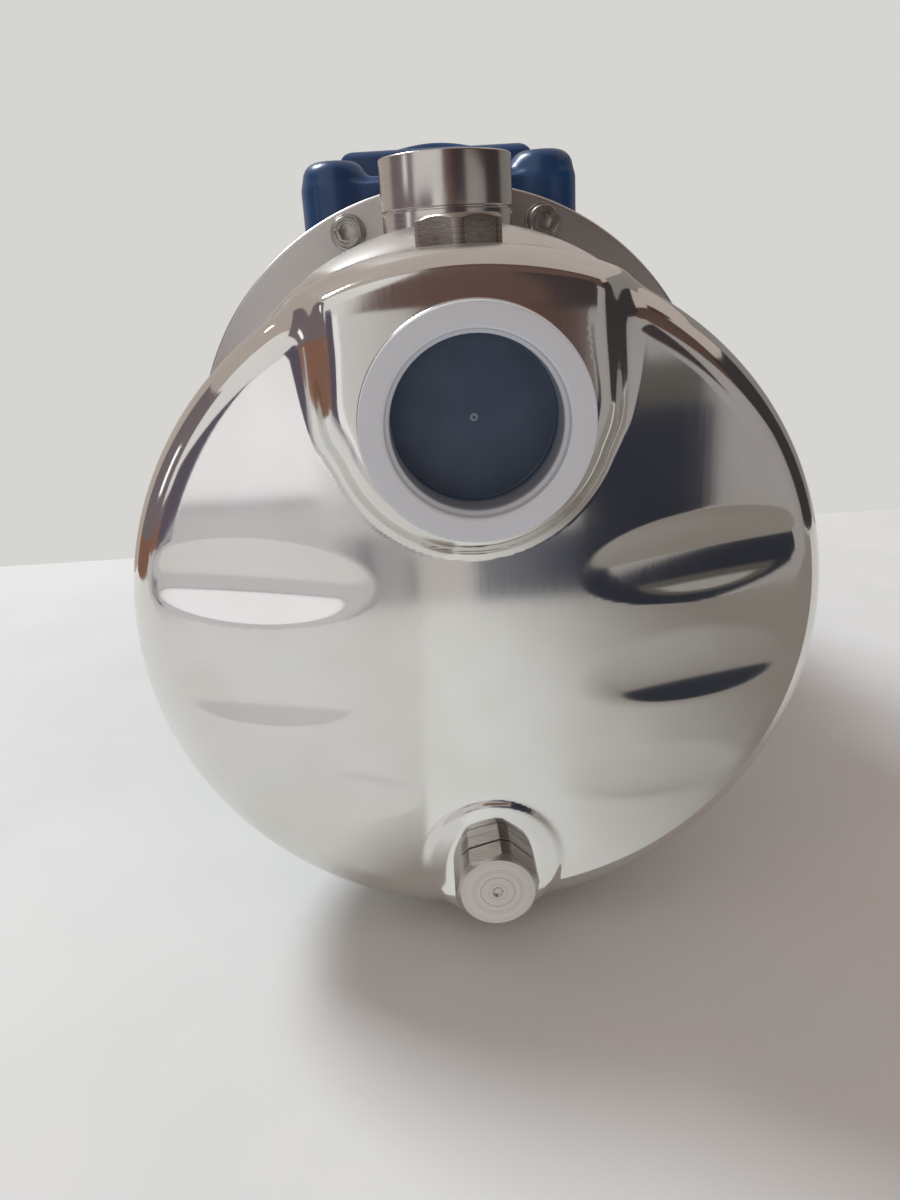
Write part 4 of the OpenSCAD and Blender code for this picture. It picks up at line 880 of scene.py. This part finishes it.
def hex_socket(bm, apothem, place, depth):
    """Closes a turned rim with a flat that has a hexagonal hole in it."""
    rim = [e for e in bm.edges if e.is_boundary]
    turn = Matrix.Translation((0, 0, place))
    made = bmesh.ops.create_circle(bm, segments=6, radius=apothem / math.cos(math.pi / 6), matrix=turn)
    hole = list({e for v in made["verts"] for e in v.link_edges})
    bmesh.ops.bridge_loops(bm, edges=rim + hole)
    wall = bmesh.ops.extrude_edge_only(bm, edges=hole)["geom"]
    floor = [g for g in wall if isinstance(g, bmesh.types.BMVert)]
    bmesh.ops.translate(bm, verts=floor, vec=(0, 0, -depth))
    edges = [g for g in wall if isinstance(g, bmesh.types.BMEdge) and g.is_boundary]
    cone = bmesh.ops.contextual_create(bm, geom=edges)["faces"]
    bmesh.ops.poke(bm, faces=cone, offset=-0.6)


def casing_screws():
    top = WASHER_T + HEAD_H
    bm = turned([
        (THREAD_R, -THREAD_LEN, 0.5), (THREAD_R, WASHER_T, 0), (HEAD_R, WASHER_T, 0.3),
        (HEAD_R, top, 0.7), (HEAD_RIM_R, top, 0.25), (HEAD_RIM_R - 0.2, top - 0.3, 0),
    ], closed=False, steps=48)
    caps = [e for e in bm.edges if e.is_boundary and e.verts[0].co.z < 0]
    bmesh.ops.contextual_create(bm, geom=caps)
    sides = []
    for face in bm.faces:
        middle = face.calc_center_median()
        if WASHER_T + 0.5 < middle.z < top - 1 and math.hypot(middle.x, middle.y) > HEAD_R - 0.5:
            sides.append(face)
    bmesh.ops.inset_individual(bm, faces=sides, thickness=0.1, depth=-KNURL_DEPTH)
    hex_socket(bm, KEY_APOTHEM, top - 0.3, KEY_DEPTH)
    ring_of(bm, SCREW_COUNT, SCREW_CIRCLE_R)
    piece("screws", bm, SHAFT, "pump", "fastener_steel", FINISHES["fastener_steel"], ["casing_screws"], 30)


casing_flange()
casing_washers()
casing_screws()

# %% [markdown]
# ## The two ports
# Both sockets are turned from bar and welded in. The inlet's stands 18 mm clear of the face, and a
# stepped plastic plug is pressed into it for transport. The outlet's has a narrow groove above its weld,
# a soft lip and a thread that shows from above.

# %% Ports
PIPE_PITCH = 2.309
INLET_R = 26
INLET_REAR_R = 24
INLET_LIP_R = 20.6
INLET_BORE_R = 19.475
INLET_REAR_F = 110.2
OUTLET_R = 20.4
OUTLET_NECK_R = 20.2
OUTLET_GROOVE_R = 19.5
OUTLET_LIP_R = 16.4
OUTLET_BORE_R = 15.145
OUTLET_LOW_H = 70
OUTLET_TOP_H = 97.6
OUTLET_STEP_H = OUTLET_TOP_H - 15


def suction_socket():
    corners = [(INLET_REAR_R, INLET_REAR_F, 0.3), (INLET_R, INLET_REAR_F, 0.3)]
    corners += [(INLET_R, INLET_F, 1), (INLET_LIP_R, INLET_F, 0.3)]
    corners += thread(INLET_BORE_R, INLET_REAR_F + 0.8, INLET_F - 0.4, PIPE_PITCH)
    corners += [(INLET_BORE_R, INLET_REAR_F, 0.3)]
    finish = turned_steel("inlet_steel", INLET_AXIS, rough=0.1, depth=0.004)
    matrix = on_shaft(0, INLET_H, 0)
    piece("inlet", turned(corners), matrix, "pump", "brushed_steel", finish, ["suction_socket"])


BRIM_R = 25.7
BRIM_T = 2.2
STOPPER_R = 19.42
PLUG_FLOOR_T = 1.6


def transit_plug():
    top = INLET_F + BRIM_T
    under = INLET_F + 0.05
    pip = PLUG_FLOOR_F + 0.5
    end = PLUG_FLOOR_F - PLUG_FLOOR_T
    bm = turned([
        (0, pip, 0), (0.7, pip, 0.15), (0.7, PLUG_FLOOR_F, 0), (18.9, PLUG_FLOOR_F, 0.4),
        (19, INLET_F - 0.5, 0.6), (19.8, INLET_F + 0.3, 0.5), (20.1, top - 0.3, 0.3), (20.6, top, 0.3),
        (BRIM_R, top, 0.7), (BRIM_R, under, 0.2), (STOPPER_R, under, 0.2), (STOPPER_R, end, 0.5),
        (0, end, 0),
    ], closed=False)
    piece(
        "plug", bm, on_shaft(0, INLET_H, 0), "transit_plug", "transit_plastic",
        FINISHES["transit_plastic"], ["transit_plug"],
    )


def discharge_socket():
    corners = [
        (OUTLET_BORE_R, OUTLET_LOW_H, 0), (OUTLET_NECK_R, OUTLET_LOW_H, 0),
        (OUTLET_NECK_R, OUTLET_STEP_H - 0.8, 0.2), (OUTLET_GROOVE_R, OUTLET_STEP_H - 0.7, 0.15),
        (OUTLET_GROOVE_R, OUTLET_STEP_H - 0.1, 0.15), (OUTLET_R, OUTLET_STEP_H, 0.2),
        (OUTLET_R, OUTLET_TOP_H, 0.6), (OUTLET_LIP_R, OUTLET_TOP_H, 0.3),
    ]
    corners += thread(OUTLET_BORE_R, OUTLET_LOW_H + 2, OUTLET_TOP_H - 0.6, PIPE_PITCH)
    finish = turned_steel(
        "outlet_steel", OUTLET_AXIS, True, 0.12, 0.001, (205, 201, 196), (211, 208, 204),
    )
    matrix = upright(OUTLET_F, 0)
    piece("outlet", turned(corners), matrix, "pump", "brushed_steel", finish, ["discharge_socket"])


suction_socket()
transit_plug()
discharge_socket()

# %% [markdown]
# ## Filler and drain
# A hex plug is made from round bar: the bar is turned, its end is chamfered, and six flats are milled.
# Where the flats cross the chamfer they leave the arcs that catch the light. Each cut here is a plane
# that slices the turned blank, and the open slice is filled again.

# %% Plugs
PLUG_AF = 21
BAR_R = 11.4
HEAD_TOP = 7.8
SEAL_TOP = 0.8
SHANK_R = 7.42
SHANK_LEN = 10
BOSS_HOLE_R = 7.475
BOSS_NECK_R = 10.2
BOSS_NECK_LEN = 9
RING_R = 10.3
RING_GAP = 0.05
FILLER_BOSS_H = 0.9
FILLER_TURN = math.radians(-3)
DRAIN_BOSS_H = 4.5
DRAIN_PLUG_F = 121.7
DRAIN_TURN = math.radians(45)


def mill_flats(bm, apothem, break_edge=0.12):
    """Six flats, with their edges lightly broken."""
    for i in range(6):
        out = Vector((math.cos(i * math.pi / 3), math.sin(i * math.pi / 3), 0))
        cut = bmesh.ops.bisect_plane(
            bm, geom=bm.verts[:] + bm.edges[:] + bm.faces[:], dist=1e-5,
            plane_co=out * apothem, plane_no=out, clear_outer=True,
        )
        rim = [g for g in cut["geom_cut"] if isinstance(g, bmesh.types.BMEdge)]
        bmesh.ops.contextual_create(bm, geom=rim)
    flats = [f for f in bm.faces if len(f.verts) > 8 and abs(f.normal.z) < 0.1]
    rims = list({e for f in flats for e in f.edges})
    bmesh.ops.bevel(
        bm, geom=rims, offset=break_edge, segments=2, profile=0.5, affect="EDGES", material=-1
    )


def hex_plug():
    bm = turned([
        (0, -SHANK_LEN, 0), (SHANK_R, -SHANK_LEN, 0.5), (SHANK_R, SEAL_TOP, 0), (BAR_R, SEAL_TOP, 0.2),
        (BAR_R, HEAD_TOP - 1.2, 0), (BAR_R - 1.5, HEAD_TOP, 0.3), (1.6, HEAD_TOP, 0.2),
        (0.9, HEAD_TOP - 0.5, 0.3), (0, HEAD_TOP - 0.6, 0),
    ], closed=False, steps=144)
    mill_flats(bm, PLUG_AF / 2)
    return bm


def hex_boss(hex_len):
    end = -BOSS_NECK_LEN - hex_len
    bm = turned([
        (BOSS_HOLE_R, end, 0), (BOSS_NECK_R, end, 0), (BOSS_NECK_R, -hex_len, 0),
        (BAR_R, -hex_len, 0), (BAR_R, 0, 0.2), (BOSS_HOLE_R, 0, 0.3),
    ], steps=144)
    mill_flats(bm, PLUG_AF / 2)
    return bm


def ring_seal():
    top = SEAL_TOP - RING_GAP
    return turned([
        (BOSS_HOLE_R, RING_GAP, 0.2), (RING_R, RING_GAP, 0.3), (RING_R, top, 0.3), (BOSS_HOLE_R, top, 0.2),
    ], steps=96)


def service_plug(name, matrix, hex_len, finish):
    rubber = FINISHES["seal_rubber"]
    boss = hex_boss(hex_len)
    piece(name + "_seat", boss, matrix, "pump", "brushed_steel", finish, [name + "_boss"], 25)
    piece(name + "_cap", hex_plug(), matrix, name + "_plug", "brushed_steel", finish, [name + "_plug"], 25)
    piece(name + "_ring", ring_seal(), matrix, name + "_seal", "seal_rubber", rubber, [name + "_seal"])


service_plug(
    "filler", upright(FILLER_F, LAND_H + FILLER_BOSS_H) @ Matrix.Rotation(FILLER_TURN, 4, "Z"),
    FILLER_BOSS_H,
    turned_steel("filler_steel", FILLER_AXIS, True, 0.26, 0.012, (128, 120, 113), (166, 158, 150)),
)
service_plug(
    "drain", on_shaft(0, DRAIN_H, DRAIN_PLUG_F, DRAIN_TURN), DRAIN_BOSS_H,
    turned_steel("drain_steel", DRAIN_AXIS, False, 0.24, 0.012, (170, 165, 158), (204, 199, 192)),
)

# %% [markdown]
# ## Terminal box
# The cover is a die casting. Domed lobes hold its corner screws, a raised part makes room for the
# capacitor and a low crown closes it. Like the casing it is a form with soft blends, draped from inside.

# %% Cover of the terminal box
BOX_HALF_W = 51
BOX_HALF_L = 50
LOBE_R = 12
LOBE_TOP = 106.2
LOBE_ROUND = 6
COVER_LOW = 83
STEP_TOP = 97.8
BODY_TOP = 100.2
TIER_HALF = 38
TIER_BACK = 26
TIER_TOP = 111.8
TIER_ROUND = 6
ARCH_BACK = 44
ARCH_R = 60
ARCH_TOP = 115.4
BODY_INSET = 2.5
BOX_BEHIND = 34
BOX_CORE = 43
BOX_GRID = 90
BOX_SHOULDER = 22
BOX_FRONT = Matrix.Scale(MM, 4) @ Matrix.Translation((0, BOX_BEHIND - FOOT_BACK, SHAFT_H))


def box_cover_form(x, y, z):
    corner_x = np.abs(x) - BOX_HALF_W + LOBE_R
    corner_y = np.abs(y - BOX_HALF_L) - BOX_HALF_L + LOBE_R
    outline = (
        np.hypot(np.maximum(corner_x, 0), np.maximum(corner_y, 0))
        + np.minimum(np.maximum(corner_x, corner_y), 0) - LOBE_R
    )
    skirt = round_edge(outline, z - STEP_TOP, 1.5)
    body = round_edge(outline + BODY_INSET, z - BODY_TOP, 4)
    lobe = round_edge(np.hypot(corner_x, corner_y) - LOBE_R, z - LOBE_TOP, LOBE_ROUND)
    rear = y - 2 * BOX_HALF_L + LOBE_R
    block = np.maximum(np.abs(x) - TIER_HALF, rear)
    tier = round_edge(np.maximum(block, TIER_BACK - y), z - TIER_TOP, TIER_ROUND)
    arch = np.maximum(np.hypot(x, z - ARCH_TOP + ARCH_R) - ARCH_R, block)
    crown = round_edge(arch, ARCH_BACK - y, 2)
    form = join_both(join_both(skirt, body, 1.5), lobe, 4)
    return join_both(join_both(form, tier, 4), crown, 3)


def cover_rings():
    yield from shoulder(COVER_LOW + 4, BOX_HALF_L, BOX_SHOULDER)
    for step in (3, 2, 1, 0):
        yield COVER_LOW + step, 1, BOX_HALF_L, 1, 0


def box_cover():
    top = (COVER_LOW + 4, BOX_CORE, BOX_HALF_L)
    bm = drape(box_cover_form, BOX_GRID, top, cover_rings(), REACH, squareness=0.8)
    made = piece(
        "box_cover", bm, BOX_FRONT, "pump", "blue_casting", FINISHES["blue_casting"], ["terminal_box"], 0
    )
    form_normals(made, BOX_FRONT, box_cover_form)


box_cover()

# %% [markdown]
# ## Everything behind
# The motor's castings and sheets are right as the frame has them, except for their knife-sharp edges.
# Each gets a merged copy with flat faces joined, and a bevel on every sharp edge, as paint and moulds
# leave it.

# %% Broken edges
def soften(node, width, angle=40, steps=2):
    """A merged copy of a frame node with its sharp edges rounded."""
    source = frame["nodes"][node]
    row = next(p for p in frame["record"]["subparts"] if p["node"] == node)
    bm = bmesh.new()
    bm.from_mesh(source.data)
    bmesh.ops.remove_doubles(bm, verts=bm.verts, dist=1e-6)
    bmesh.ops.dissolve_limit(
        bm, angle_limit=math.radians(1), verts=bm.verts[:], edges=bm.edges[:],
        use_dissolve_boundaries=False, delimit={"NORMAL"},
    )
    bmesh.ops.scale(bm, vec=(1 / MM,) * 3, verts=bm.verts)
    made = piece(
        node + "_made", bm, Matrix.Scale(MM, 4), "pump", row["material_slot"],
        FINISHES[row["material_slot"]], [node], 0,
    )
    bevel = made.modifiers.new("edges", "BEVEL")
    bevel.width = width * MM
    bevel.segments = steps
    bevel.limit_method = "ANGLE"
    bevel.angle_limit = math.radians(angle)
    bevel.use_clamp_overlap = True
    made.data.shade_smooth()
    made.data.set_sharp_from_angle(angle=math.radians(angle))
    return made


for node, width in (
    ("motor_bracket", 0.8), ("motor_frame", 0.3), ("rear_shield", 0.6), ("fan_cover", 0.3), ("foot", 0.5),
    ("box_base", 0.4), ("back_plate", 0.3), ("cable_gland", 0.3),
):
    soften(node, width)

# %% [markdown]
# ## Table, wall and light
# The pump stands on a white table, and one large soft lamp shines from behind it on the left, so the
# shadow falls forward to the right. The camera sees the world as a pale wall. Everything else gets the
# world's warmer, darker grey.

# %% Table and wall
TABLE_REAR = 250
TABLE_WIDE = 4000
WALL = linear(214, 213, 210)
SHADE = linear(186, 174, 167)


def table_paint():
    paint = Finish("table_paint", roughness=0.5)
    grain = paint.noise(60, detail=2)
    speck = paint.noise(1.5, detail=1)
    table = paint.mix(grain.ramp(0.3, 0.7), linear(224, 225, 225), linear(228, 228, 228))
    paint.feed("Base Color", paint.mix(speck.ramp(0.82, 0.86) * 0.3, table, linear(150, 148, 144)))
    paint.shader.inputs["Specular IOR Level"].default_value = 0
    return paint.material


def sheet(name, corners, material):
    bm = bmesh.new()
    bm.faces.new([bm.verts.new(Vector(c) * MM) for c in corners])
    mesh = bpy.data.meshes.new(name)
    bm.to_mesh(mesh)
    bm.free()
    made = bpy.data.objects.new(name, mesh)
    bpy.context.scene.collection.objects.link(made)
    mesh.materials.append(material)
    return made


sheet(
    "floor",
    [
        (-TABLE_WIDE, -TABLE_WIDE, 0), (TABLE_WIDE, -TABLE_WIDE, 0),
        (TABLE_WIDE, TABLE_REAR, 0), (-TABLE_WIDE, TABLE_REAR, 0),
    ],
    table_paint(),
)

world = bpy.data.worlds.new("room")
bpy.context.scene.world = world
world.use_nodes = True
backdrop = world.node_tree.nodes["Background"]
ray = world.node_tree.nodes.new("ShaderNodeLightPath")
choice = world.node_tree.nodes.new("ShaderNodeMix")
choice.data_type = "RGBA"
choice.inputs[6].default_value = SHADE
choice.inputs[7].default_value = WALL
world.node_tree.links.new(ray.outputs["Is Camera Ray"], choice.inputs[0])
world.node_tree.links.new(choice.outputs[2], backdrop.inputs[0])
print("table ends", TABLE_REAR, "mm behind the foot, before a wall of", [round(c, 2) for c in WALL[:3]])

# %% [markdown]
# ## What the steel mirrors
# A mirror finish takes its look from the room behind the camera. Flat glowing cards stand there for a
# dark cupboard, pale and brown walls and the shaded table. They are painted reflections: only mirrored
# rays see them, and they light nothing and cast no shadow. On the flat face a card's image lies where the
# law of the mirror puts it, so each card was placed by that law.

# %% Mirrored cards
STEEL_KEEPS = (0.77, 0.755, 0.715)
END = -464


def unmirrored(colour):
    """The colour that a thing must have for its image in the steel to have this one."""
    return [c / kept for c, kept in zip(linear(*colour), STEEL_KEEPS)] + [1]


def card(name, low, high, colour, last=None):
    """A flat card that only its mirrored image shows, from one colour to a last one across."""
    finish = Finish(name, base_color=(0, 0, 0, 1), roughness=1, emission_strength=1)
    (x0, y0, z0), (x1, y1, z1) = low, high
    across = finish.axes()[0].ramp(x0, x1 + 1)
    finish.feed("Emission Color", finish.mix(across, unmirrored(colour), unmirrored(last or colour)))
    near, far = ((x0, y0, z0), (x1, y0, z0)), ((x1, y1, z1), (x0, y1, z1))
    if x0 == x1:
        near, far = ((x0, y0, z0), (x0, y1, z0)), ((x0, y1, z1), (x0, y0, z1))
    made = sheet(name, near + far, finish.material)
    made.visible_camera = False
    made.visible_diffuse = False
    made.visible_shadow = False


# Painted reflections: each card below glows only for mirrored rays and lights nothing.
card("cupboard", (75, END, 0), (157, END, 112), (32, 34, 43))
card("cupboard_low", (13, END, 0), (75, END, 45), (104, 103, 108), (50, 52, 61))
card("cupboard_top", (100, END, 112), (152, END, 138), (74, 70, 64))
card("streak_one", (-27, END, 6), (-23, END, 30), (92, 90, 96))
card("streak_two", (-56, END, 18), (-49, END, 45), (96, 93, 98))
card("low_mid", (-23, END - 2, 0), (13, END - 2, 60), (178, 171, 165))
card("low_left", (-70, END - 2, 0), (-23, END - 2, 45), (152, 147, 146))
card("far_edge", (-165, END - 2, 67), (-78, END - 2, 71), (110, 105, 106))
card("brown_panel", (-12, END - 2, 60), (80, END - 2, 195), (96, 70, 58), (70, 50, 44))
card("low_far_left", (-900, END - 4, 0), (-23, END - 4, 69), (178, 173, 171))
card("wall_left", (-175, END - 4, 69), (-75, END - 4, 195), (222, 218, 215))
card("wall_mid", (-75, END - 4, 45), (-12, END - 4, 195), (200, 195, 190), (170, 164, 158))
card("door_left", (-420, END - 4, 40), (-175, END - 4, 215), (80, 70, 80))
card("wall_right", (80, END - 4, 0), (220, END - 4, 195), (142, 136, 131))
card("wall_far_right", (220, END - 4, 0), (1400, END - 4, 330), (142, 136, 131), (118, 110, 104))
card("cupboard_high", (60, END, 170), (240, END, 480), (50, 41, 42))
# A painted shadow on the mirrored table, darker towards the right.
card("table_shade", (-20, END, 0.6), (140, -190, 0.6), (202, 200, 194), (120, 113, 105))
card("table_dark", (140, END, 0.6), (900, -190, 0.6), (120, 113, 105))
card("upper_right", (-60, END - 200, 195), (1500, END - 200, 1500), (84, 62, 54), (66, 48, 42))
card("ceiling_right", (-60, END - 200, 1500), (1500, END + 100, 1500), (84, 62, 54), (66, 48, 42))
card("upper_left", (-1500, END - 200, 195), (-60, END - 200, 1500), (204, 199, 194))
card("side_left", (-900, -1200, 120), (-900, 200, 700), (104, 93, 94))
card("side_left_low", (-900, -1200, 0), (-900, 200, 120), (120, 84, 68))
# A painted highlight: a bright window that only the steel shows.
card("side_window", (-898, -420, 260), (-898, -300, 440), (255, 252, 248))
card("side_right", (1000, -1200, 0), (1000, 200, 700), (46, 40, 40))
card("side_far_right", (1000, 200, 0), (1000, 2500, 900), (118, 112, 106))
print("cards stand", -END, "mm before the foot")


# %% Lamp
LAMP_AT = Vector((-1.5, 1.1, 2.7))


def lamp(name, place, target, size, power, colour):
    data = bpy.data.lights.new(name, "AREA")
    data.shape = "RECTANGLE"
    data.size = size[0]
    data.size_y = size[1]
    data.energy = power
    data.color = colour
    made = bpy.data.objects.new(name, data)
    bpy.context.scene.collection.objects.link(made)
    made.location = place
    made.rotation_euler = (Vector(target) - place).to_track_quat("-Z", "Y").to_euler()


lamp("window", LAMP_AT, (0, -0.1, 0.1), (0.9, 0.9), 76, (0.88, 0.96, 1.0))
print("lamp", round(LAMP_AT.length, 2), "m away")
